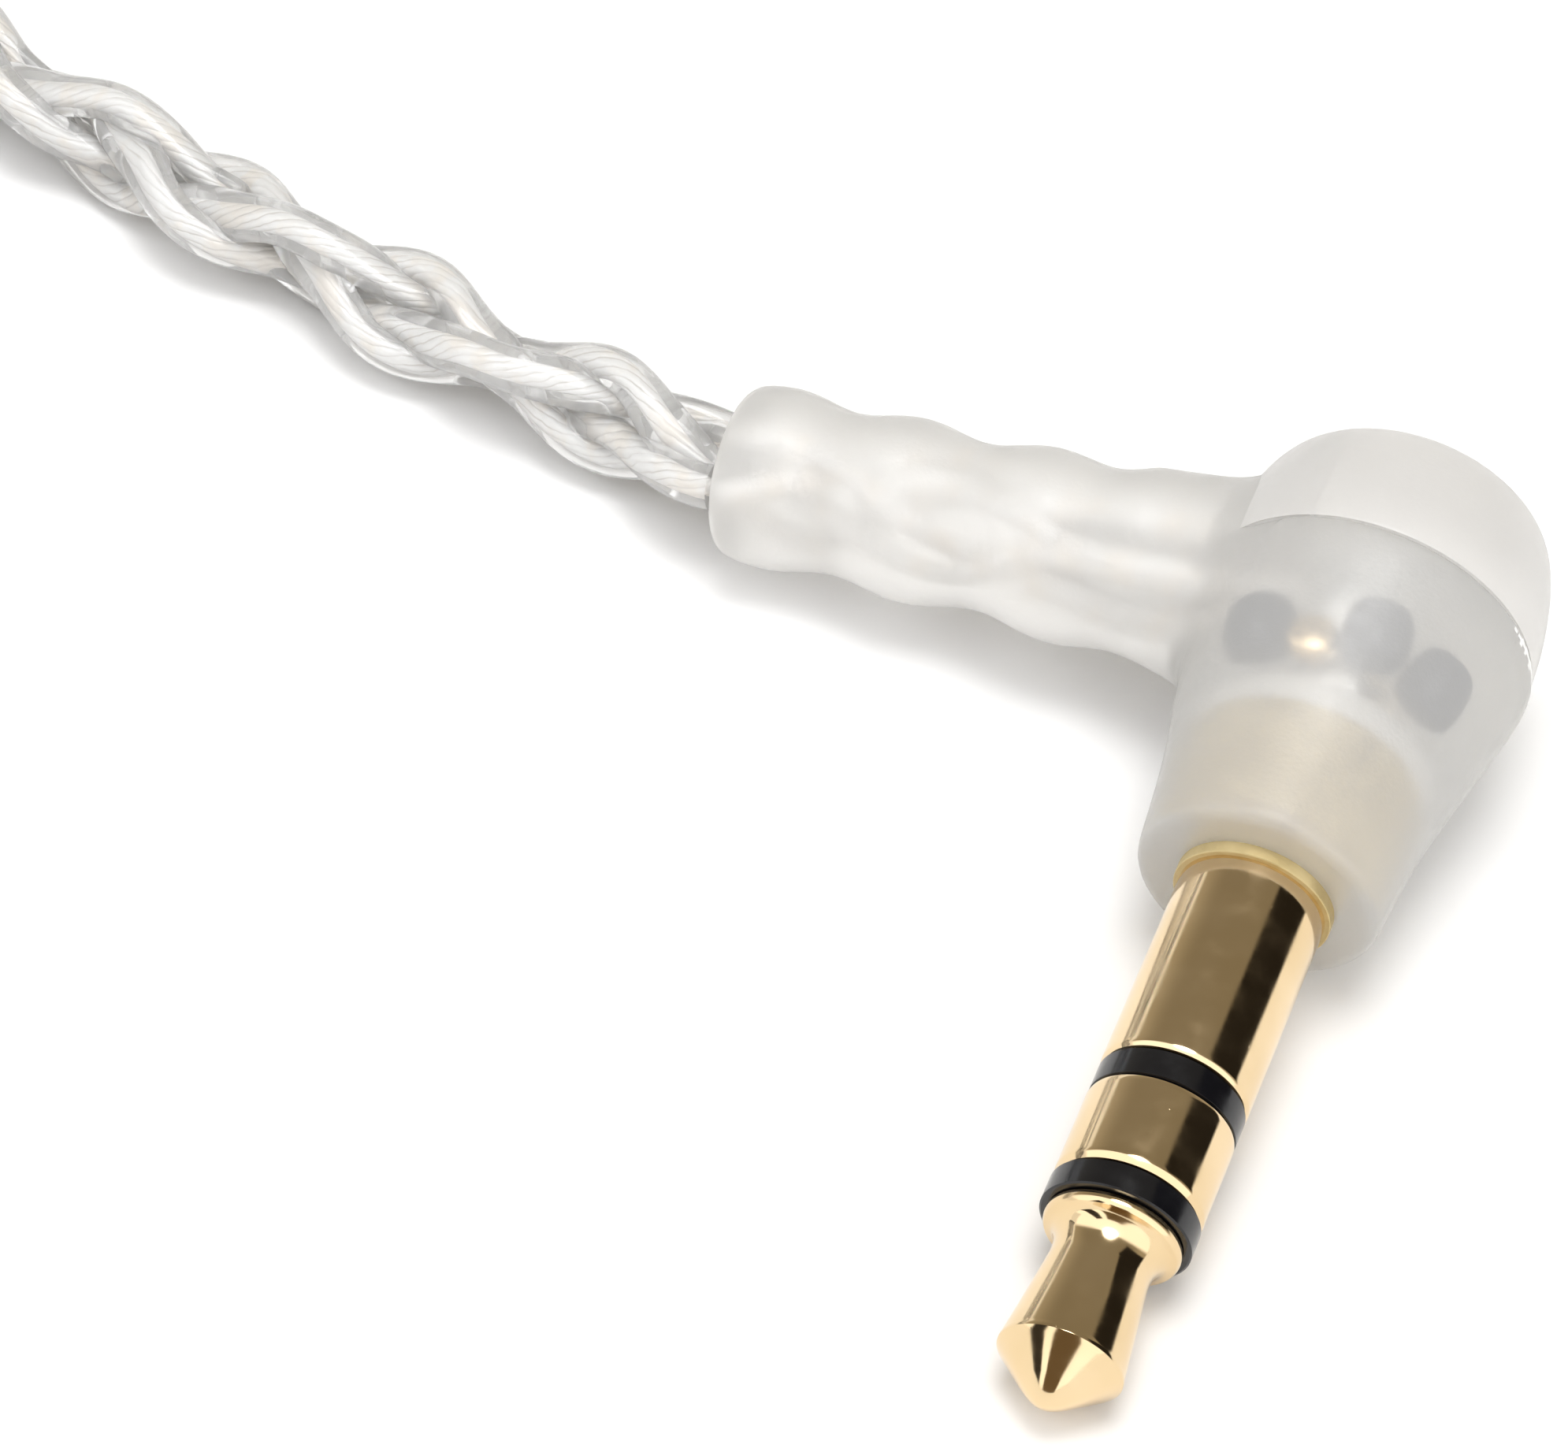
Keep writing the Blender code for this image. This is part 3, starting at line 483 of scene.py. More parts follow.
def steel():
    """Drawn steel: fine lines along the can, in softly mottled grey."""
    it = Finish("driver_steel", (0.62, 0.62, 0.61), 0.28, 1.0)
    lines = it.noise(0.5, 4, place=it.stretched(0.12, 3.0, 3.0))
    it.mottle(1.8, (0.56, 0.56, 0.55), (0.68, 0.68, 0.66), 3)
    it.set("Roughness", it.between(lines, 0.3, 0.7, 0.29, 0.42))
    it.bump(lines, 0.006)
    return it.made


def screen():
    """The fine woven wire screen in a nozzle."""
    it = Finish("screen_steel", (0.6, 0.6, 0.6), 0.3, 1.0)
    # Painted shade: the holes between the screen's wires are coloured near-black for the dark inside of the
    # nozzle seen through them. The same mask also sets the bump.
    holes = it.between(it.cells(0.24), 0.25, 0.42, 0.0, 1.0)
    it.set("Base Color", it.mix(holes, (0.08, 0.08, 0.08), (0.72, 0.72, 0.70)))
    it.wander("Roughness", 0.3, 0.29, 0.45)
    it.bump(holes, 0.05)
    return it.made


def circuit_board():
    """Green lacquered board with paler copper runs under the lacquer and tinned pads."""
    it = Finish("circuit_board", (0.02, 0.12, 0.05), 0.3, Coat_Weight=0.6, Coat_Roughness=0.15)
    runs = it.between(it.cells(1.1, "DISTANCE_TO_EDGE"), 0.03, 0.07, 1.0, 0.0)
    base = it.mix(it.noise(1.5), (0.016, 0.10, 0.042), (0.026, 0.15, 0.065))
    traces = it.mix(it.maths("MULTIPLY", runs, 0.7), base, (0.09, 0.30, 0.12))
    pads = it.between(it.cells(1.9), 0.14, 0.18, 1.0, 0.0)
    it.set("Base Color", it.mix(pads, traces, (0.78, 0.77, 0.74)))
    it.set("Metallic", pads)
    it.bump(runs, 0.02)
    it.bump(pads, 0.04)
    return it.made


def silicone():
    """Soft translucent silicone with a slight bloom."""
    it = Finish(
        "silicone",
        (0.86, 0.87, 0.88),
        0.42,
        Transmission_Weight=0.35,
        IOR=1.41,
        Subsurface_Weight=0.3,
        Subsurface_Scale=0.002,
        Sheen_Weight=0.15,
    )
    it.mottle(2.5, (0.82, 0.83, 0.845), (0.90, 0.905, 0.91), 3)
    it.wander("Roughness", 0.5, 0.36, 0.5, 4)
    it.bump(it.noise(0.15, 3), 0.006)
    return it.made


def paper_floor():
    """Matt white paper, very slightly uneven."""
    it = Finish("white_floor", (0.895, 0.895, 0.895), 0.9)
    it.mottle(6.0, (0.89, 0.889, 0.887), (0.90, 0.899, 0.897), 3)
    it.wander("Roughness", 1.2, 0.8, 0.95)
    return it.made


# ---------------------------------------------------------------- camera and light


CAMERA_RIGHT = Vector((0.927, 0.364, -0.090))
CAMERA_FORWARD = Vector((-0.293, 0.554, -0.780))
CAMERA_AT = Vector((27.68, -73.47, 105.70))
CAMERA_LENS = 132.76


def make_camera():
    """The view, set in the plug's own frame."""
    right = CAMERA_RIGHT.normalized()
    forward = (CAMERA_FORWARD - right * CAMERA_FORWARD.dot(right)).normalized()
    up = right.cross(forward)
    placing = Matrix((right, up, -forward)).transposed().to_4x4()
    placing.translation = CAMERA_AT
    placing = PLUG @ placing
    placing.translation = at(placing.translation)
    data = bpy.data.cameras.new("camera")
    data.sensor_width = 36
    data.lens = CAMERA_LENS
    data.clip_start = 0.01
    camera = bpy.data.objects.new("camera", data)
    camera.matrix_world = placing
    bpy.context.collection.objects.link(camera)
    bpy.context.scene.camera = camera


def make_floor():
    """A sheet of white paper, far wider than what the camera sees."""
    bpy.ops.mesh.primitive_plane_add(size=3.0)
    floor = bpy.context.object
    floor.name = "floor"
    floor.data.materials.append(paper_floor())


# The studio, as radiances: white card low down, a dim back wall with a dark gap in it, a
# soft light overhead, and a pale front with a black flag and a brown one.
CARD = (1.03, 1.03, 1.03)
BACK_WALL = (0.275, 0.245, 0.19)
BACK_WALL_LOW = (0.44, 0.40, 0.32)
DARK_GAP = (0.022, 0.019, 0.016)
OVERHEAD = (9.0, 9.0, 9.0)
FRONT = (1.6, 1.6, 1.61)
BLACK_FLAG = (0.04, 0.035, 0.03)
BROWN_FLAG = (0.17, 0.12, 0.07)


def patch(it, bearing, height, left, right, low, high, soft):
    """Where the studio lies between two bearings and two heights, with soft edges."""
    share = it.between(bearing, left - soft, left + soft)
    share = it.maths("MULTIPLY", share, it.between(bearing, right - soft, right + soft, 1.0, 0.0))
    share = it.maths("MULTIPLY", share, it.between(height, low - soft, low + soft))
    return it.maths("MULTIPLY", share, it.between(height, high - soft, high + soft, 1.0, 0.0))


def make_world():
    """Bearings are in radians from the back, to the right, and heights are sines."""
    world = bpy.data.worlds.new("world")
    bpy.context.scene.world = world
    world.use_nodes = True
    it = Nodes(world.node_tree)
    toward = it.add("TexCoord", {}).outputs["Generated"]
    x, y, z = it.add("SeparateXYZ", {0: toward}).outputs
    bearing = it.maths("ARCTAN2", x, y)
    away = it.maths("ABSOLUTE", bearing)
    wall = it.mix(it.between(z, 0.2, 0.72), BACK_WALL_LOW, BACK_WALL)
    colour = it.mix(it.between(away, 1.35, 1.6, 1.0, 0.0), FRONT, wall)
    colour = it.mix(patch(it, bearing, z, -2.1, 0.3, -0.1, 0.24, 0.04), colour, CARD)
    colour = it.mix(patch(it, bearing, z, 0.72, 1.22, -0.1, 0.73, 0.03), colour, DARK_GAP)
    colour = it.mix(it.between(z, 0.955, 0.98), colour, OVERHEAD)
    colour = it.mix(it.between(z, -0.02, 0.06, 1.0, 0.0), colour, CARD)
    colour = it.mix(patch(it, bearing, z, -2.62, -2.33, 0.0, 0.7, 0.02), colour, BLACK_FLAG)
    colour = it.mix(patch(it, away, z, 2.82, 3.3, 0.0, 0.7, 0.03), colour, BROWN_FLAG)
    back = world.node_tree.nodes["Background"]
    it.feed(back.inputs["Color"], colour)
    back.inputs["Strength"].default_value = 1.0
    bpy.context.scene.view_settings.view_transform = "Standard"


# ---------------------------------------------------------------- cords


# Bearings around the coil are in degrees, and go on past 360 with each turn.
COIL_FROM = 75  # the cable has reached the coil's outer turn
COIL_TO = 2580  # it leaves the upper row
CLIMB = 110  # it rises from the lower row over this much
ROW_SHIFT = 1.47  # how far the upper row's turns lie outside the lower row's
FLOOR_RADIUS = 25.47  # from the coil's middle to where the cable's curve starts
LEADS_FROM, LEADS_TO = 265, 1080
LEAD_CLIMBS = (560, 920)  # where the leads start up to their next row


def main_route():
    """The cable's centreline: from inside the boot, along the floor, round the coil in two
    rows and out to the splitter."""
    route = [PLUG @ Vector((x, BOOT_Y, 0)) for x in (-7.5, -10.5, -13.5, -BOOT_END)]
    route += [Vector(p) for p in CABLE_ROUTE[1:]]
    for turn in range(36, COIL_FROM, 13):
        share = ease((turn - 24) / 51)
        radius = FLOOR_RADIUS + (COIL_OUT - FLOOR_RADIUS) * share
        route.append(on_coil(turn, radius, 2.0 + 0.2 * share))
    turns_in = (COIL_OUT - COIL_IN) / TRACK
    end_low = COIL_FROM + 360 * turns_in
    for turn in np.arange(COIL_FROM, end_low, 15):
        route.append(on_coil(turn, COIL_OUT - TRACK * (turn - COIL_FROM) / 360, LOW_ROW))
    start_high = end_low + CLIMB
    for turn in np.arange(end_low, start_high, 15):
        share = ease((turn - end_low) / CLIMB)
        rise = (HIGH_ROW - LOW_ROW) * share
        route.append(on_coil(turn, COIL_IN + ROW_SHIFT * share, LOW_ROW + rise))
    for turn in np.arange(start_high, COIL_TO, 15):
        radius = COIL_IN + ROW_SHIFT + TRACK * (turn - start_high) / 360
        route.append(on_coil(turn, radius, HIGH_ROW))
    route += [on_coil(*p) for p in LEAVING_ROUTE + TAIL_ROUTE]
    return smooth_line(route, 0.3)


def lead_route(side):
    """A lead's centreline: from the splitter onto the coil, round it three times, up
    between the monitors and over the ear to its connector."""
    half = (PAIR_OUT - PAIR_IN) / 2 * side
    rows = zip(ENTRY_TURN, ENTRY_RADIUS, ENTRY_HEIGHT)
    route = [on_coil(d, r + half, z) for d, r, z in rows]
    radius = PAIR_IN if side < 0 else PAIR_OUT
    for turn in range(LEADS_FROM, LEADS_TO, 15):
        rows_up = ease((turn - LEAD_CLIMBS[0]) / 60) * (PAIR_ROWS[1] - PAIR_ROWS[0])
        rows_up += ease((turn - LEAD_CLIMBS[1]) / 60) * (PAIR_ROWS[2] - PAIR_ROWS[1])
        route.append(on_coil(turn, radius, PAIR_ROWS[0] + rows_up))
    x = COIL_CENTRE.x + radius
    leave = 12.9 if side < 0 else 9.7
    top = PAIR_ROWS[2]
    fall = [(0.0, top), (5.0, top), (leave, top), (17.0, top - 2.6)]
    fall += [(20.5, 6.2), (25.0, 3.6), (28.0, 2.2), (30.5, SLIDER_Z)]
    route += [Vector((x, COIL_CENTRE.y + dy, z)) for dy, z in fall]
    route += [Vector((x, y, SLIDER_Z)) for y in (42.0, 48.0, 54.0, 60.0, 64.5)]
    centre_x = x + side * HOOK_R
    for k in range(13):
        turn = math.pi * k / 12
        rise = (CONNECTOR_Z - SLIDER_Z) * ease((k - 2) / 9)
        over = centre_x - side * HOOK_R * math.cos(turn)
        route.append(Vector((over, HOOK_START + HOOK_R * math.sin(turn), SLIDER_Z + rise)))
    route.append(route[-1] - Y * 1.6)
    return smooth_line(route, 0.4)


def frames_along(line):
    """Two directions across a line at each of its points, carried along without twist."""
    points = np.array([tuple(p) for p in line])
    tangents = np.gradient(points, axis=0)
    tangents /= np.linalg.norm(tangents, axis=1)[:, None]
    across = np.cross(tangents[0], (0, 0, 1))
    across /= np.linalg.norm(across)
    us = np.empty_like(points)
    for k, t in enumerate(tangents):
        across = across - t * (across @ t)
        across /= np.linalg.norm(across)
        us[k] = across
    steps = np.linalg.norm(np.diff(points, axis=0), axis=1)
    return points, tangents, us, np.cross(tangents, us), np.concatenate([[0], np.cumsum(steps)])


def strand_tube(centres, radial, thick, wide, sides, travelled):
    """Points, faces and UVs of one strand: an oval tube that lies flat against its cord."""
    tangents = np.gradient(centres, axis=0)
    tangents /= np.linalg.norm(tangents, axis=1)[:, None]
    sideways = np.cross(tangents, radial)
    sideways /= np.linalg.norm(sideways, axis=1)[:, None]
    outward = np.cross(sideways, tangents)
    turn = 2 * np.pi * np.arange(sides) / sides
    rings = centres[:, None] + outward[:, None] * (thick[:, None] * np.cos(turn))[..., None]
    rings = rings + sideways[:, None] * (wide[:, None] * np.sin(turn))[..., None]
    count = len(centres)
    k = np.repeat(np.arange(count - 1), sides)
    j = np.tile(np.arange(sides), count - 1)
    after = (j + 1) % sides
    low, high = k * sides, (k + 1) * sides
    faces = np.stack([low + j, low + after, high + after, high + j], 1)
    corners = ((k, j), (k, j + 1), (k + 1, j + 1), (k + 1, j))
    uv = np.stack([np.stack([travelled[row], column / sides], 1) for row, column in corners], 1)
    caps = [list(range(sides - 1, -1, -1)), list(range((count - 1) * sides, count * sides))]
    cap_uv = [(travelled[0], 0.0)] * sides + [(travelled[-1], 0.0)] * sides
    return rings.reshape(-1, 3), [*faces.tolist(), *caps], np.concatenate([uv.reshape(-1, 2), cap_uv])


def wind(line, paths, inset, blocks):
    """The strands of a cord as one set of points, faces and UVs. paths gives, for each strand
    and the distance along the cord, its angle, distance from the middle, half thickness and
    half width. blocks holds (from, to, points apart, sides)."""
    points, _, us, vs, travelled = frames_along(line)
    all_points, all_faces, all_uv, start = [], [], [], 0
    for path in paths:
        for low, high, skip, sides in blocks:
            keep = np.flatnonzero((travelled >= low) & (travelled <= high))[::skip]
            s = travelled[keep]
            angle, radius, thick, wide = path(s)
            radial = us[keep] * np.cos(angle)[:, None] + vs[keep] * np.sin(angle)[:, None]
            centres = points[keep] + radial * radius[:, None]
            tube = strand_tube(centres, radial, thick * inset, wide * inset, sides, s)
            all_points.append(tube[0])
            all_faces += [[v + start for v in f] for f in tube[1]]
            all_uv.append(tube[2])
            start += len(tube[0])
    return np.concatenate(all_points), all_faces, np.concatenate(all_uv)


BRAID_PITCH = 12.635  # the cable's length for one full turn of a strand
BRAID_START = 9.31  # the braid's turn at the start of the cable, in radians
BRAID_ROLL = (-2.30, 0.0935)  # and its slow roll: at the start, and for each millimetre
BRAID_MIDDLE = 0.75  # a strand's mean distance from the cable's middle
BRAID_SWING = 0.35  # how far it passes over and under that
BRAID_LEAN = 0.35  # how unevenly it winds, in radians
STRAND_THICK = 0.47
STRAND_SECTION = 0.3  # half thickness by half width, the same all along
LEAD_PITCH = 6.5
LEAD_STRAND = 0.49
CORE_SHARE = 0.4  # the silver core's share of a strand's width
JACKET_START = 8.6  # the jackets end here, inside the boot
SEEN_END = 50  # the cable is finely drawn up to here
PAST_END = 2000  # longer than any cord


def braid_path(way, half_turn):
    """One strand of the round braid of four: two wind each way, over one and under one.
    Each crosses over as it passes the ends of its oval way around the cable's middle."""

    def path(s):
        turn = BRAID_START - 2 * np.pi * s / BRAID_PITCH
        roll = BRAID_ROLL[0] + BRAID_ROLL[1] * s
        over = np.cos(2 * turn) * way
        lean = turn - way * BRAID_LEAN * np.sin(2 * turn)
        angle = roll - way * lean + np.pi * (half_turn + (way < 0))
        radius = BRAID_MIDDLE + BRAID_SWING * over
        thick = STRAND_THICK + 0.05 * over
        return angle, radius, thick, STRAND_SECTION / thick

    return path


def twist_path(half_turn):
    """One of a lead's two twisted strands."""

    def path(s):
        turn = 2 * np.pi * s / LEAD_PITCH + np.pi * half_turn
        same = np.ones_like(s)
        return turn, LEAD_STRAND * same, LEAD_STRAND * same, 0.5 * same

    return path


def lay_cord(name, line, paths, finishes, detail, core_share, replaced, ends, **told):
    points, faces, uv = wind(line, paths, 1.0, detail[0])
    cord = new_mesh(name, points, faces, finishes[0], uv, sharp=80)
    points, faces, uv = wind(line, paths, core_share, detail[1])
    cores = new_mesh(f"{name}_wires", points, faces, finishes[1], uv, sharp=80)
    belong(cord, "cable_and_plug", "silver_wire", *replaced)
    belong(cores, "cable_and_plug", "silver_wire")


def make_cords(*finishes):
    """The braided cable and the two twisted leads."""
    line = main_route()
    lay_cord(
        "main_cable",
        line,
        [braid_path(way, half) for way in (1, -1) for half in (0, 1)],
        finishes,
        (
            [(JACKET_START, SEEN_END, 1, 28), (SEEN_END, PAST_END, 2, 10)],
            [(0, SEEN_END, 1, 20), (SEEN_END, PAST_END, 2, 8)],
        ),
        CORE_SHARE,
        ["main_cable_run", "main_cable_coil", "main_cable_tail"],
        ["splitter_upper_shell", "splitter_lower_shell", "splitter_crimp", "coil_tie"],
        exit=at(CABLE_ROUTE[0]),
        diameter=CABLE_D * MM,
        far_end="fitting",
        path=[at(p) for p in line[::3]],
    )
    for name, side in SIDES:
        line = lead_route(side)
        ends = ["connector", "pin_signal", "pin_return", "ear_hook"]
        lay_cord(
            f"{name}_lead",
            line,
            [twist_path(half) for half in (0, 1)],
            finishes,
            ([(0, PAST_END, 1, 12)], [(0, PAST_END, 1, 8)]),
            CORE_SHARE + 0.1,
            [f"{name}_lead_entry", f"{name}_lead_run", *(["leads_coil"] if side < 0 else [])],
            [*(f"{name}_{end}" for end in ends), *(["chin_slider"] if side > 0 else [])],
            exit=at(line[0]),
            diameter=LEAD_D * MM,
            far_end="connector",
            path=[at(p) for p in line[::2]],
        )


# ---------------------------------------------------------------- plug


ROUND = 128  # points around a piece of the plug
MATTE_FROM = 7  # the step of the sleeve contact's profile from which it is matte


def plug_piece(name, profile, finish, slot, closed=True):
    """A turned piece of the plug in place of the CAD node of the same name."""
    made = turned(f"{name}_shape", profile, finish, closed, placing=PLUG, count=ROUND, sharp=30)
    return belong(made, "cable_and_plug", slot, name)


def make_contacts(plate, matte, black, nylon):
    """The three contacts and their insulators, with the fine chamfers turned on them."""
    tip = [(7.4, 0.02), (7.4, 0.45), (-9.32, 0.45), (-9.32, 1.5), (-9.34, 1.57), (-9.4, 1.6)]
    tip += [(-9.48, 1.6)]
    neck = [(-9.56, 1.585), (-9.62, 1.54), (-9.65, 1.46), (-9.68, 1.38), (-9.74, 1.31), (-9.84, 1.24)]
    neck += [(-9.96, 1.185), (-10.1, 1.155), (-10.27, 1.145), (-10.45, 1.152), (-11.5, 1.278)]
    neck += [(-12.68, 1.427), (-12.76, 1.437)]
    cone = [(-12.81, 1.45), (-12.86, 1.445), (-12.9, 1.41), (-12.95, 1.36), (-13.55, 0.735), (-13.62, 0.66)]
    cone += [(-13.8, 0.45), (-13.9, 0.3), (-13.97, 0.15), (-14.0, 0.02)]
    plug_piece("plug_tip_contact", tip + neck + cone, plate, "gold", closed=False)
    tube = [(-9.3, 0.49), (-9.3, 1.72), (-9.27, 1.765), (-8.66, 1.765), (-8.64, 1.72), (-8.64, 0.73)]
    plug_piece("plug_tip_insulator", tube + [(6.1, 0.73), (6.1, 0.49)], black, "plug_insulator")
    tube = [(-8.58, 0.78), (-8.58, 1.62), (-8.55, 1.68), (-8.42, 1.74), (-8.38, 1.75), (-8.3, 1.75)]
    tube += [(-6.44, 1.75), (-6.36, 1.75), (-6.3, 1.73), (-6.27, 1.68), (-6.27, 1.02)]
    tube += [(5.6, 1.02), (5.6, 0.78)]
    plug_piece("plug_ring_contact", tube, plate, "gold")
    tube = [(-6.23, 1.07), (-6.23, 1.7), (-6.21, 1.735), (-5.55, 1.735), (-5.53, 1.7), (-5.53, 1.31)]
    plug_piece("plug_ring_insulator", tube + [(5.05, 1.31), (5.05, 1.07)], black, "plug_insulator")
    tube = [(-5.48, 1.36), (-5.48, 1.64), (-5.45, 1.7), (-5.36, 1.745), (-5.3, 1.75)]
    tube += [(-5.2, 1.75), (-0.08, 1.75), (0.0, 1.75), (0.0, 1.86), (0.02, 1.88), (0.75, 1.88)]
    tube += [(0.85, 1.68), (1.15, 1.68), (1.25, 1.88)]
    barrel = plug_piece("plug_sleeve_contact", tube + [(4.25, 1.88), (4.25, 1.36)], plate, "gold")
    barrel.data.materials.append(matte)
    for face in barrel.data.polygons:
        face.material_index = 1 if face.index // ROUND >= MATTE_FROM else 0
    tube = [(4.3, 1.36), (4.3, 1.84), (4.34, 1.88), (4.96, 1.88), (5.0, 1.84), (5.0, 1.36)]
    plug_piece("plug_rear_collar", tube, nylon, "plug_insulator")


BULB_AT = -15.0  # where one of the boot's bulges is at its highest
RIM = 0.38  # the radius of the boot's rounded end
TOP_PITCH = 3.3  # between bulges, where they lie closest together
UNDER_PITCH = 3.7  # and on the boot's other side
CREST = 0.62  # where around the boot its bulges lie closest together, in radians
BULGE_DEPTH = 0.125
BOOT_STEPS = 140
BOOT_ROUND = 96  # points around the boot


def boot_radius(x, angle):
    """The boot narrows away from the head, and shows the strands' lay as bulges that
    wind around it."""
    root = ease((x + 7.0) / 4.6)
    plain = 2.115 + 0.13 * ease((x + 9.5) / 3.0) + 0.46 * root
    side = angle - CREST
    pitch = (TOP_PITCH + UNDER_PITCH) / 2 - (UNDER_PITCH - TOP_PITCH) / 2 * math.cos(side)
    lay = 2 * math.pi * (x - BULB_AT) / pitch + 0.8 * math.sin(side)
    depth = BULGE_DEPTH * (1 - 0.75 * ease((x + 6.5) / 4.0))
    rim = 0.0
    if x < RIM - BOOT_END:  # the rounded edge around the boot's end
        t = (RIM - BOOT_END - x) / RIM
        rim = RIM * (1 - math.sqrt(max(0.0, 1 - t * t)))
    return plain + depth * math.cos(lay) - rim


def housing_loops(profile):
    """Loops of points around the plug's axis, closed at both ends of the profile."""
    closed = [(profile[0][0], 0.02), *profile, (profile[-1][0], 0.02)]
    return [ring(Vector((0, s, 0)), X, Z, r, count=ROUND) for s, r in closed]


def at_full_size(name, loops):
    """A mesh object in millimetres about the plug's flange, for joining and remeshing."""
    bm = bmesh.new()
    rows = [[bm.verts.new(p) for p in loop] for loop in loops]
    count = len(loops[0])
    for low, high in zip(rows, rows[1:]):
        for k in range(count):
            after = (k + 1) % count
            bm.faces.new((low[k], low[after], high[after], high[k]))
    bm.faces.new(rows[0])
    bm.faces.new(rows[-1])
    bmesh.ops.recalc_face_normals(bm, faces=bm.faces)
    mesh = bpy.data.meshes.new(name)
    bm.to_mesh(mesh)
    bm.free()
    made = bpy.data.objects.new(name, mesh)
    bpy.context.collection.objects.link(made)
    return made


VOXEL = 0.1
SEAM_Y = 8.3  # where the cap meets the head
CORE_FACE = -1.2  # where the boot's root ends inside the cap
FILLET_PASSES = 400


def make_housing(milky, seam):
    """Head and boot moulded as one, with a soft fillet where they meet."""
    outline = [(0.3, 2.62), (0.34, 2.78), (0.42, 2.87), (0.55, 2.91), (0.8, 2.94), (2.9, 3.16)]
    outline = smooth_rows(outline + [(4.7, 3.5), (6.5, 3.9), (7.7, 4.13), (8.28, 4.15)], 3)
    body = at_full_size("plug_housing_shape", housing_loops(outline))
    core = [(7.6, 3.9), (8.4, 3.9), (9.4, 3.87), (10.4, 3.74), (11.2, 3.54), (11.7, 3.2)]
    loops = housing_loops(core)
    for point in (p for loop in loops for p in loop):
        point.x = min(point.x, CORE_FACE)
    core = at_full_size("core", loops)
    loops = []
    for k in range(BOOT_STEPS + 1):
        x = -BOOT_END + (BOOT_END - 1.5) * (k / BOOT_STEPS) ** 1.2
        loop = []
        for j in range(BOOT_ROUND):
            angle = 2 * math.pi * j / BOOT_ROUND
            r = max(0.3, boot_radius(x, angle))
            loop.append(Vector((x, BOOT_Y + r * math.cos(angle), r * math.sin(angle))))
        loops.append(loop)
    boot = at_full_size("boot", loops)
    combine(body, boot, "UNION")
    combine(body, core, "UNION")
    add_step(body, "REMESH", mode="VOXEL", voxel_size=VOXEL)
    add_step(body, "SMOOTH", factor=0.5, iterations=6)
    settle(body)
    soften_root(body)
    finish_housing(body, milky, seam)
    return belong(body, "cable_and_plug", "frosted_plastic", "plug_housing")


def soften_root(body):
    """Eases the corner where the boot meets the head into a fillet. Only the skin near both
    the boot's root and the head's wall is moved, and that by a share that fades out."""
    group = body.vertex_groups.new(name="root")
    for vertex in body.data.vertices:
        x, y, z = vertex.co
        from_boot = math.hypot(y - BOOT_Y, z)
        share = ease((4.4 - from_boot) / 0.9) * ease((from_boot - 1.2) / 0.6)
        share *= ease((1.9 - abs(math.hypot(x, z) - 4.1)) / 0.5) * ease((-1.9 - x) / 0.5)
        if share > 0.001:
            group.add([vertex.index], share, "REPLACE")
    add_step(body, "SMOOTH", vertex_group="root", factor=0.5, iterations=FILLET_PASSES)
    settle(body)


def finish_housing(body, milky, seam):
    """Takes a housing mesh from millimetres about the plug to its place."""
    mesh = body.data
    mesh.materials.clear()
    mesh.materials.append(milky)
    mesh.materials.append(seam)
    for face in mesh.polygons:
        inner = face.normal.y > 0.9 and SEAM_Y - 0.3 < face.center.y < SEAM_Y + 0.1
        inner = inner or (face.normal.x > 0.9 and face.center.y > SEAM_Y - 0.3)
        face.material_index = 1 if inner else 0
    for vertex in mesh.vertices:
        vertex.co = at(PLUG @ vertex.co)
    mesh.shade_smooth()


def make_cap(milky):
    """The end cap, a hair smaller than the head where they meet."""
    outline = [(8.3, 4.0), (8.33, 4.06), (8.42, 4.09), (9.4, 4.03), (10.4, 3.88), (11.2, 3.67)]
    outline = smooth_rows(outline + [(11.7, 3.42), (11.98, 3.08), (12.12, 2.6), (12.15, 1.8)], 4)
    loops = [[PLUG @ p for p in loop] for loop in housing_loops(outline)]
    cap = loft("plug_end_cap_shape", loops, milky, sharp=60)
    return belong(cap, "cable_and_plug", "frosted_plastic", "plug_end_cap")


def sweep(name, line, radius, finish, count=16, inner=None, eased=0.0):
    """A rod, or a tube where it has an inner radius, along a line of points. Its outside
    is that much less at its two ends, where eased is given."""
    points, _, us, vs, _ = frames_along(line)
    last = len(points) - 1
    turn = 2 * np.pi * np.arange(count) / count
    walls = []
    for wall in (radius, inner) if inner else (radius,):
        loops = []
        for k in range(last + 1):
            r = wall - (eased if wall == radius and k in (0, last) else 0.0)
            loop = points[k] + r * (np.cos(turn)[:, None] * us[k] + np.sin(turn)[:, None] * vs[k])
            loops.append([Vector(p) for p in loop])
        walls.append(loops)
    if inner:
        return loft(name, walls[0] + walls[1][::-1], finish, closed=True, sharp=50)
    return loft(name, walls[0], finish, sharp=50)


WIRE_ENDS = {
    "plug_wire_left": ((-0.55, 0.55), (8.3, 0.1)),
    "plug_wire_right": ((0.55, 0.55), (8.85, 1.25)),
    "plug_wire_left_return": ((-0.55, -0.55), (8.1, -1.25)),
    "plug_wire_right_return": ((0.55, -0.55), (9.1, -1.25)),
}


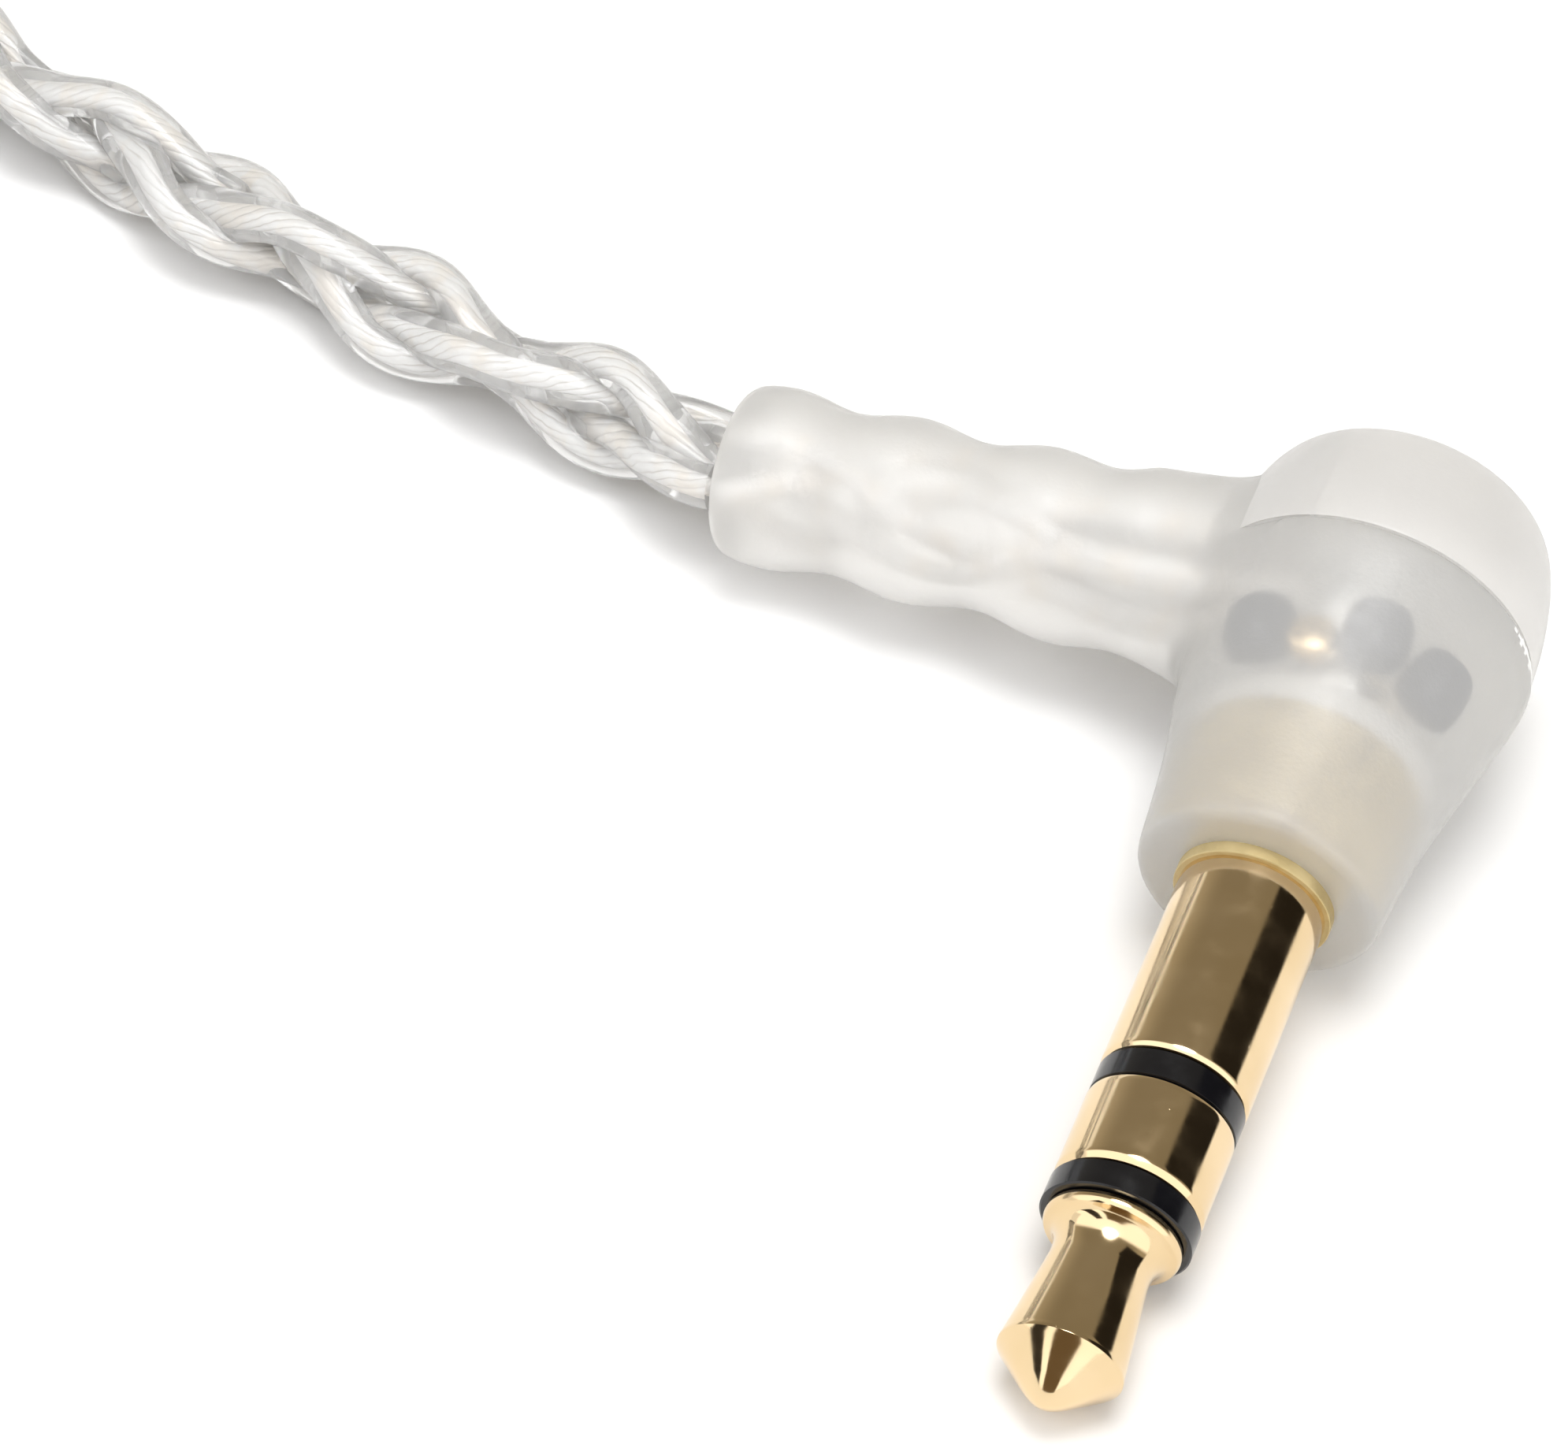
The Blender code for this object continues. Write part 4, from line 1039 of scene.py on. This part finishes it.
def make_plug_wires(wires):
    """Each conductor leaves the braid at the boot's root and ends on its lug."""
    for name, ((dy, dz), (y, z)) in WIRE_ENDS.items():
        route = [(-8.2, BOOT_Y + 0.8 * dy, 0.8 * dz), (-6.4, BOOT_Y + dy, dz), (-4.6, BOOT_Y + dy, dz)]
        route += [(-2.6, (BOOT_Y + dy + y) / 2, (dz + z) / 2), (-1.05, y, z)]
        line = [PLUG @ p for p in smooth_line(route, 0.35)]
        belong(sweep(f"{name}_shape", line, 0.36, wires), "cable_and_plug", "silver_wire", name)


def make_lugs(tin):
    """The terminals: flat tongues with a solder bead where each wire ends."""
    lugs = {
        "plug_tip_lug": (7.45, 9.5, 0.0, ((8.3, 0.18),)),
        "plug_ring_lug": (5.2, 9.3, 1.22, ((8.85, 1.34),)),
        "plug_ground_lug": (5.2, 9.3, -1.22, ((8.1, -1.34), (9.05, -1.34))),
    }
    bead = [(-0.18, 0.1), (-0.16, 0.3), (-0.06, 0.42), (0.06, 0.42), (0.16, 0.3), (0.18, 0.1)]
    bead = smooth_rows(bead, 3)
    for name, (low, high, z, beads) in lugs.items():
        sections = [(low, 0.52, 0.11), (low + 0.06, 0.6, 0.14), (high - 0.5, 0.6, 0.14)]
        loops = []
        for y, half, thick in [*sections, (high, 0.3, 0.12)]:
            loop = ring(Vector((0, y, z)), X, Z, half, thick, 24, 5.0)
            loops.append([PLUG @ p for p in loop])
        made = loft(f"{name}_shape", loops, tin, sharp=40)
        belong(made, "cable_and_plug", "gold", name)
        for number, (y, bead_z) in enumerate(beads):
            start = Vector((-0.35, y, bead_z))
            bead_name = f"{name}_solder_{number + 1}"
            solder = turned(bead_name, bead, tin, False, start, Z, PLUG, 32, 60)
            belong(solder, "cable_and_plug", "driver_steel")


# each sleeve's middle, and its radius
JOINT_SLEEVES = ((-1.5, 5.9, 2.1, 0.8), (0.95, 6.2, 2.5, 0.76), (2.35, 5.8, 1.7, 0.82))


def make_joint_sleeves(blue, plate):
    """The dark sleeves shrunk over the joints behind the barrel, and a gilt rivet."""
    bulge = [(-0.85, 0.1), (-0.82, 0.6), (-0.6, 0.88), (0.0, 1.0), (0.6, 0.88), (0.82, 0.6)]
    bulge += [(0.85, 0.1)]
    for number, (x, y, z, r) in enumerate(JOINT_SLEEVES):
        profile = smooth_rows([(s, share * r) for s, share in bulge], 3)
        lean = Vector((0.25 * (number - 1), 1.0, 0.1)).normalized()
        start = Vector((x, y, z))
        made = turned(f"joint_sleeve_{number + 1}", profile, blue, False, start, lean, PLUG, 48, 60)
        belong(made, "cable_and_plug", "plug_insulator")
    rivet = [(-0.5, 0.05), (-0.48, 0.5), (0.05, 0.56), (0.2, 0.4), (0.26, 0.03)]
    start = Vector((-0.35, 5.8, 2.4))
    made = turned("ring_lug_rivet", smooth_rows(rivet, 3), plate, False, start, Z, PLUG, 48, 60)
    belong(made, "cable_and_plug", "gold")


# ---------------------------------------------------------------- coil's fittings

SLIDER_START = 39.2


def make_tie(rubber):
    """A rubber strap closed around the whole bundle of turns, with rounded edges."""
    angle = math.radians(TIE_BEARING)
    out = Vector((math.cos(angle), math.sin(angle), 0))
    along = Vector((-out.y, out.x, 0))
    low, top = 0.75, 6.2  # the cable's two rows lie between these heights
    pair_top = top + 0.3 + LEAD_D * 3 + 0.4
    inner = [(8.63, low - 0.05), (24.05, low - 0.05), (24.05, low + 2.8), (23.35, top + 0.4)]
    inner += [(19.1, pair_top + 0.15), (13.9, pair_top + 0.15), (9.93, top + 0.4), (8.63, low + 2.8)]
    outline = [Vector((r, z, 0)) for r, z in inner]
    around = []
    for k, point in enumerate(outline):
        after = outline[(k + 1) % len(outline)]
        before = outline[k - 1]
        cut = min(0.9, 0.3 * min((after - point).length, (before - point).length))
        start = point + (before - point).normalized() * cut
        end = point + (after - point).normalized() * cut
        for t in (0.0, 0.25, 0.5, 0.75, 1.0):
            around.append((1 - t) ** 2 * start + 2 * t * (1 - t) * point + t**2 * end)
    loops = []
    section = [(0.0, -2.42), (0.12, -2.5), (0.5, -2.5), (0.64, -2.42), (0.7, -2.2), (0.7, 2.2)]
    section += [(0.64, 2.42), (0.5, 2.5), (0.12, 2.5), (0.0, 2.42)]
    for offset, shift in section:
        loop = []
        for k, point in enumerate(around):
            edge = (around[(k + 1) % len(around)] - around[k - 1]).normalized()
            r, z = point.x + offset * edge.y, point.y - offset * edge.x
            loop.append(COIL_CENTRE + out * r + Z * max(0.0, z) + along * shift)
        loops.append(loop)
    tie = loft("coil_tie_shape", loops, rubber, closed=True, sharp=40)
    return belong(tie, "cable_and_plug", "tie_rubber", "coil_tie")


def splitter_placing():
    """Lays the splitter along the cable's way around the coil."""
    angle = math.radians(SPLITTER_AT[0])
    heading = math.atan2(math.cos(angle), -math.sin(angle))
    return Matrix.Translation(on_coil(*SPLITTER_AT)) @ Matrix.Rotation(heading, 4, "Z")


def make_splitter(plastic, brass):
    """The splitter's two half shells, closed on a brass crimp, with a ridged grip."""
    placing = splitter_placing()
    stations = [(-6.0, 1.82), (-5.94, 1.9), (-5.5, 2.02), (-4.8, 2.2), (-3.6, 2.36), (-2.0, 2.48)]
    stations += [(-1.4, 2.5)]
    for groove in (-1.0, -0.2, 0.6, 1.4):
        stations += [(groove - 0.2, 2.5), (groove - 0.12, 2.38), (groove + 0.12, 2.38), (groove + 0.2, 2.5)]
    stations += [(3.0, 2.5), (5.2, 2.5), (5.75, 2.44), (5.94, 2.36), (6.0, 2.25)]
    for name, side in (("upper", 1), ("lower", -1)):
        loops = []
        for x, outer in stations:
            bore = 1.5 if x < -4.6 else 1.8
            loop = []
            for radius, order in ((outer, range(33)), (min(bore, outer - 0.3), range(32, -1, -1))):
                for k in order:
                    turn = math.pi * k / 32
                    height = side * (radius * math.sin(turn) + 0.025)
                    loop.append(placing @ Vector((x, radius * math.cos(turn), height)))
            loops.append(loop)
        shell = loft(f"splitter_{name}_shell_shape", loops, plastic, sharp=28)
        belong(shell, "cable_and_plug", "splitter_plastic", f"splitter_{name}_shell")
    crimp = [(-3.0, 1.0), (-2.9, 1.1), (-2.6, 1.38), (-1.4, 1.4), (-1.2, 1.3), (-1.0, 1.4), (0.6, 1.4)]
    crimp += [(0.8, 1.3), (1.0, 1.4), (2.0, 1.4), (2.3, 1.15), (2.4, 1.0)]
    made = turned("splitter_crimp_shape", crimp, brass, axis=X, placing=placing, count=64)
    belong(made, "cable_and_plug", "gold", "splitter_crimp")


def make_slider(rubber):
    """The chin slider: a soft oval ring around both leads, with a waist to grip."""
    middle = COIL_CENTRE.x + (PAIR_IN + PAIR_OUT) / 2
    half = (PAIR_OUT - PAIR_IN) / 2
    bore = LEAD_D / 2 + 0.06
    outside = [(0.0, 0.42), (0.05, 0.5), (0.2, 0.62), (0.5, 0.7), (1.2, 0.7), (2.2, 0.6), (3.5, 0.55)]
    outside += [(4.8, 0.6), (5.8, 0.7), (6.5, 0.7), (6.8, 0.62), (6.95, 0.5), (7.0, 0.42)]
    sections = smooth_rows(outside, 3) + [(7.0, 0.03), (6.93, 0.0), (0.07, 0.0), (0.0, 0.03)]
    loops = []
    for along, wall in sections:
        loop = []
        for side in (1, -1):
            for k in range(33):
                turn = math.pi * k / 32 - math.pi / 2
                x = side * (half + (bore + wall) * math.cos(turn))
                z = SLIDER_Z + side * (bore + wall) * math.sin(turn)
                loop.append(Vector((middle + x, SLIDER_START + along, z)))
        loops.append(loop)
    slider = loft("chin_slider_shape", loops, rubber, closed=True, sharp=50)
    return belong(slider, "chin_slider", "slider_rubber", "chin_slider")


# ---------------------------------------------------------------- leads' ends

CONNECTOR_FACE = 60.25


def make_ear_hook(name, side, tube):
    """The clear sleeve that holds a lead in its curve over the ear, with eased ends."""
    line = lead_route(side)
    outer = LEAD_D / 2 + 0.65
    start_x = COIL_CENTRE.x + (PAIR_IN if side < 0 else PAIR_OUT)
    clear_by = outer + 0.05 - (PAIR_OUT - PAIR_IN) / 2
    kept = [p for p in line if p.y > 60 and abs(p.x - start_x) > clear_by][:-6]
    hook = sweep(f"{name}_ear_hook_shape", kept, outer, tube, 32, LEAD_D / 2 + 0.2, 0.1)
    belong(hook, "cable_and_plug", "clear_tube", f"{name}_ear_hook")


def make_connector(name, x, plastic, plate):
    """The two-pin plug on a lead: a ribbed body and two gold pins."""
    centre = Vector((x, CONNECTOR_FACE, CONNECTOR_Z))
    sections = [(0.0, 2.25, 1.45, 5.0), (0.05, 2.36, 1.56, 5.0), (0.18, 2.42, 1.62, 5.0)]
    sections += [(0.5, 2.5, 1.7, 5.0)]
    for rib in (1.2, 1.9, 2.6, 3.3):
        sections += [(rib - 0.2, 2.5, 1.7, 4.8), (rib - 0.1, 2.38, 1.6, 4.8), (rib + 0.1, 2.38, 1.6, 4.8)]
        sections += [(rib + 0.2, 2.5, 1.7, 4.8)]
    sections += [(4.2, 2.42, 1.62, 4.0), (4.9, 2.2, 1.62, 3.2), (5.6, 1.9, 1.6, 2.4), (6.5, 1.62, 1.5, 2.1)]
    sections += [(7.25, 1.47, 1.46, 2.0), (7.37, 1.42, 1.42, 2.0), (7.4, 1.32, 1.32, 2.0)]
    loops = [ring(centre + Y * s, X, Z, w, h, 72, power) for s, w, h, power in sections]
    body = loft(f"{name}_connector_shape", loops, plastic, sharp=30)
    for side in (-1, 1):
        start = centre + X * side
        hole = turned("hole", [(-1.0, 0.44), (2.4, 0.44)], plastic, start=start, count=32)
        combine(body, hole, "DIFFERENCE")
    reshade(body, 30)
    belong(body, "cable_and_plug", "connector_plastic", f"{name}_connector")
    for kind, side in (("signal", -1), ("return", 1)):
        pin = [(-3.25, 0.02), (-3.24, 0.12), (-3.2, 0.22), (-3.08, 0.34), (-3.0, 0.38), (-2.9, 0.39)]
        pin += [(2.3, 0.39), (2.35, 0.36)]
        made = turned(f"{name}_pin_{kind}_shape", pin, plate, start=centre + X * side, count=40)
        belong(made, "cable_and_plug", "gold", f"{name}_pin_{kind}")


# ---------------------------------------------------------------- monitors

NOZZLE_BASE = Vector((4.1, -2.2, 13.0))
NOZZLE_AXIS = Vector((0.50, -0.20, 0.84)).normalized()
MONITOR_Y = 50.0
HALF_WIDE, HALF_LONG = 8.4, 10.0
FACEPLATE_T = 1.6


def shell_sections():
    """The shell's sections from the faceplate up to the nozzle: centre, normal, half
    width, half length and squareness."""
    a, b = HALF_WIDE, HALF_LONG
    lean = NOZZLE_AXIS
    sections = [
        (Vector((0, 0, FACEPLATE_T + 0.05)), Z, a, b, 2.5),
        (Vector((0.1, 0, 4.6)), Z, a + 0.3, b + 0.15, 2.5),
        (Vector((0.6, -0.3, 7.6)), Z.lerp(lean, 0.15), a - 0.5, b - 0.9, 2.3),
        (Vector((1.7, -0.9, 10.2)), Z.lerp(lean, 0.45), a - 2.2, b - 3.2, 2.1),
        (Vector((3.0, -1.6, 12.0)), Z.lerp(lean, 0.8), 4.2, 4.5, 2.0),
        (NOZZLE_BASE, lean, 3.0, 3.0, 2.0),
    ]
    return [(c, n.normalized(), w, h, p) for c, n, w, h, p in sections]


def eased_sections(sections, steps=6):
    """More sections on a smooth curve through the given ones."""
    rows = smooth_rows([[*c, *n, w, h, p] for c, n, w, h, p in sections], steps)
    return [(Vector(r[:3]), Vector(r[3:6]).normalized(), *r[6:]) for r in rows]


def on_monitor(points, side, origin):
    """Points about the left ear's monitor, or mirrored for the right ear's, in their place."""
    return [origin + Vector((side * p.x, p.y, p.z)) for p in points]


def section_loops(sections, side, origin):
    """Loops of points around a shell's sections."""
    loops = []
    for centre, normal, w, h, power in sections:
        u, v = across(normal)
        loops.append(on_monitor(ring(centre, u, v, w, h, power=power), side, origin))
    return loops


def make_shell(name, side, origin, plastic):
    """The hollow shell with its nozzle, open toward the faceplate and at the socket."""
    outer = eased_sections(shell_sections())
    nozzle = [(0.3, 2.8), (0.55, 2.62), (0.9, 2.52), (1.4, 2.5), (3.62, 2.5), (3.72, 2.54), (3.82, 2.68)]
    nozzle += [(3.9, 2.74), (4.0, 2.75), (4.75, 2.75), (4.9, 2.7), (4.98, 2.6), (5.0, 2.5)]
    outer += [(NOZZLE_BASE + NOZZLE_AXIS * s, NOZZLE_AXIS, r, r, 2.0) for s, r in nozzle]
    wall = 0.9
    inner = []
    for centre, normal, w, h, power in shell_sections()[:4]:
        drop = 0.0 if normal == Z else wall
        inner.append((centre - normal * drop, normal, w - wall, h - wall, power))
    fifth = shell_sections()[4]
    inner.append((fifth[0] - fifth[1], fifth[1], 3.0, 3.2, 2.0))
    inner = eased_sections(inner, 5)
    inner += [(NOZZLE_BASE + NOZZLE_AXIS * s, NOZZLE_AXIS, 1.6, 1.6, 2.0) for s in (0.2, 5.0)]
    loops = section_loops(outer, side, origin) + section_loops(inner, side, origin)[::-1]
    shell = loft(f"{name}_shell_shape", loops, plastic, closed=True, sharp=40)
    low = Vector((-2.36, HALF_LONG - 3.66, CONNECTOR_Z - 1.51))
    window = box_loops(low, Vector((2.36, HALF_LONG + 4, CONNECTOR_Z + 1.51)))
    tool = loft("window", [[origin + p for p in loop] for loop in window], plastic)
    combine(shell, tool, "DIFFERENCE")
    reshade(shell, 40)
    belong(shell, f"{name}_monitor", "shell_plastic", f"{name}_shell")


def box_loops(low, high, power=7.0):
    """A block with rounded long edges along Y, and eased ends."""
    middle, half = (low + high) / 2, (high - low) / 2
    loops = []
    eased = [(low.y, 0.12), (low.y + 0.04, 0.04), (low.y + 0.12, 0.0)]
    eased += [(high.y - 0.12, 0.0), (high.y - 0.04, 0.04), (high.y, 0.12)]
    for y, drop in eased:
        centre = Vector((middle.x, y, middle.z))
        loops.append(ring(centre, X, Z, half.x - drop, half.z - drop, 64, power))
    return loops


def make_faceplate(name, origin, finish):
    """The oval plate that closes a shell, with a rounded rim."""
    rim = [(0.0, -0.9), (0.02, -0.72), (0.1, -0.48), (0.22, -0.28), (0.4, -0.12), (0.6, -0.03), (0.8, 0.0)]
    rim += [(FACEPLATE_T, 0.0)]
    loops = []
    for z, grow in rim:
        loop = ring(origin + Z * z, X, Y, HALF_WIDE + grow, HALF_LONG + grow, 128, 2.5)
        loops.append(loop)
    made = loft(f"{name}_faceplate_shape", loops, finish, sharp=40)
    belong(made, f"{name}_monitor", "faceplate_plastic", f"{name}_faceplate")


def make_socket(name, origin, plastic):
    """The block in the shell's window, with two holes for the connector's pins."""
    low = Vector((-2.3, HALF_LONG - 3.6, CONNECTOR_Z - 1.45))
    high = Vector((2.3, HALF_LONG + 0.15, CONNECTOR_Z + 1.45))
    loops = [[origin + p for p in loop] for loop in box_loops(low, high)]
    body = loft(f"{name}_socket_shape", loops, plastic, sharp=30)
    for side in (-1, 1):
        start = origin + Vector((side, high.y, CONNECTOR_Z))
        hole = turned("hole", [(-3.25, 0.46), (1.0, 0.46)], plastic, start=start, count=32)
        combine(body, hole, "DIFFERENCE")
    reshade(body, 30)
    belong(body, f"{name}_monitor", "socket_plastic", f"{name}_socket")


def make_innards(name, side, origin, can, board, tube, mesh_finish, thin_wire):
    """Two balanced-armature drivers, the crossover board, the sound tube and the fine
    wires between them."""
    base = FACEPLATE_T + 1.0
    parts = (
        ("woofer", (-5.6, -6.2, base), (1.4, -1.8, base + 3.2), can, "driver_steel"),
        ("tweeter", (-4.8, -0.6, base), (0.4, 2.4, base + 2.4), can, "driver_steel"),
        ("crossover_board", (2.4, -4.2, base), (6.2, 3.8, base + 0.8), board, "board"),
    )
    for piece, low, high, finish, slot in parts:
        ends = sorted((side * low[0], side * high[0]))
        corners = Vector((ends[0], *low[1:])), Vector((ends[1], *high[1:]))
        power = 16.0 if piece == "crossover_board" else 9.0
        loops = [[origin + p for p in loop] for loop in box_loops(*corners, power=power)]
        made = loft(f"{name}_{piece}_shape", loops, finish, sharp=40)
        belong(made, f"{name}_monitor", slot, f"{name}_{piece}")
    profile = [(-4.2, 0.75), (-4.2, 1.2), (-4.15, 1.25), (4.05, 1.25), (4.1, 1.2), (4.1, 0.75)]
    along_nozzle(f"{name}_sound_tube", profile, tube, "clear_tube", name, side, origin, True)
    profile = [(4.3, 0.02), (4.3, 1.5), (4.35, 1.55), (4.55, 1.55), (4.6, 1.5), (4.62, 0.8), (4.64, 0.02)]
    along_nozzle(f"{name}_nozzle_screen", profile, mesh_finish, "screen_steel", name, side, origin, False)
    routes = (
        ((1.5, -3.0, 4.6), (2.2, -2.6, 4.7), (3.0, -2.0, 4.2), (3.6, -1.6, 3.5)),
        ((0.5, 1.2, 3.9), (1.4, 1.5, 4.4), (2.6, 1.4, 4.1), (3.4, 1.2, 3.5)),
        ((3.6, 2.4, 3.5), (3.0, 4.0, 4.6), (1.8, 5.4, 4.9), (1.0, 6.5, 4.4)),
    )
    for number, route in enumerate(routes):
        line = smooth_line(on_monitor(map(Vector, route), side, origin), 0.25)
        wire = sweep(f"{name}_fine_wire_{number + 1}", line, 0.11, thin_wire, 10)
        belong(wire, f"{name}_monitor", "gold")


def along_nozzle(name, profile, finish, slot, ear, side, origin, closed, body="monitor"):
    """A turned piece on a nozzle's axis, in place of the CAD node of the same name."""
    u, v = across(NOZZLE_AXIS)
    loops = []
    for s, r in profile:
        loop = ring(NOZZLE_BASE + NOZZLE_AXIS * s, u, v, r)
        loops.append(on_monitor(loop, side, origin))
    made = loft(f"{name}_shape", loops, finish, closed, 45)
    return belong(made, f"{ear}_{body}", slot, name)


def make_ear_tip(name, side, origin, rubber):
    """A soft dome on a short core that grips the nozzle."""
    outside = [(5.9, 2.0), (7.45, 2.02), (7.62, 2.1), (7.7, 2.35), (7.72, 2.7), (7.66, 3.2), (7.45, 3.8)]
    outside += [(7.0, 4.45), (6.3, 5.05), (5.4, 5.52), (4.4, 5.85), (3.4, 6.03), (2.4, 6.09), (1.75, 6.1)]
    inside = [(1.55, 6.0), (1.5, 5.8), (1.55, 5.6), (2.4, 5.5), (3.6, 5.38), (4.6, 5.08), (5.25, 4.55)]
    inside += [(5.55, 4.0), (5.6, 3.6), (5.4, 3.5), (1.2, 3.5), (1.05, 3.42), (1.0, 3.25), (1.0, 2.95)]
    inside += [(1.08, 2.85), (5.2, 2.85), (5.4, 2.75), (5.6, 2.3)]
    profile = smooth_rows(outside, 3) + smooth_rows(inside, 2)
    along_nozzle(f"{name}_ear_tip", profile, rubber, "silicone", name, side, origin, True, "ear_tip")


# ---------------------------------------------------------------- the whole set

make_camera()
make_world()
make_floor()
plate = gold()
steel_finish = steel()
jacket = milky_jacket()
wires = silver_wires()
brass = gold("brass", 2.0)
rubber = dark_plastic("dark_rubber", (0.035, 0.035, 0.038), (0.055, 0.055, 0.06), 0.55, 0.14)
dark = dark_plastic("dark_plastic", (0.02, 0.02, 0.022), (0.035, 0.035, 0.038), 0.32, 0.2)
shell_finish = clear("clear_shell", (0.94, 0.95, 0.96), 0.05)
tube_finish = clear("clear_tube", (0.95, 0.955, 0.96), 0.08)
connector_finish = frosted("connector_plastic", (0.80, 0.81, 0.82), 0.6, 0.2)
pearl_finish = pearl()
board_finish = circuit_board()
screen_finish = screen()
silicone_finish = silicone()

nylon = dark_plastic("nylon_collar", (0.70, 0.69, 0.66), (0.76, 0.75, 0.72), 0.45, 0.2)
make_contacts(plate, matte_gold(), glossy_black(), nylon)
seam_white = dark_plastic("seam_white", (0.86, 0.86, 0.84), (0.9, 0.9, 0.88), 0.6, 0.2)
make_housing(frosted("frosted_body", (0.965, 0.957, 0.938), 0.67, 0.41), seam_white)
make_cap(frosted("frosted_cap", (0.93, 0.915, 0.892), 0.46, 0.36))
make_plug_wires(wires)
make_lugs(steel_finish)
blue = dark_plastic("blue_sleeve", (0.012, 0.02, 0.035), (0.025, 0.035, 0.06), 0.4, 0.2)
make_joint_sleeves(blue, plate)
make_tie(rubber)
make_splitter(dark, brass)
make_slider(rubber)
for name, side in SIDES:
    x = COIL_CENTRE.x + (PAIR_IN if side < 0 else PAIR_OUT) + side * 2 * HOOK_R
    origin = Vector((x, MONITOR_Y, 0))
    make_ear_hook(name, side, tube_finish)
    make_connector(name, x, connector_finish, plate)
    make_shell(name, side, origin, shell_finish)
    make_faceplate(name, origin, pearl_finish)
    make_socket(name, origin, dark)
    make_innards(name, side, origin, steel_finish, board_finish, tube_finish, screen_finish, brass)
    make_ear_tip(name, side, origin, silicone_finish)
make_cords(jacket, wires)
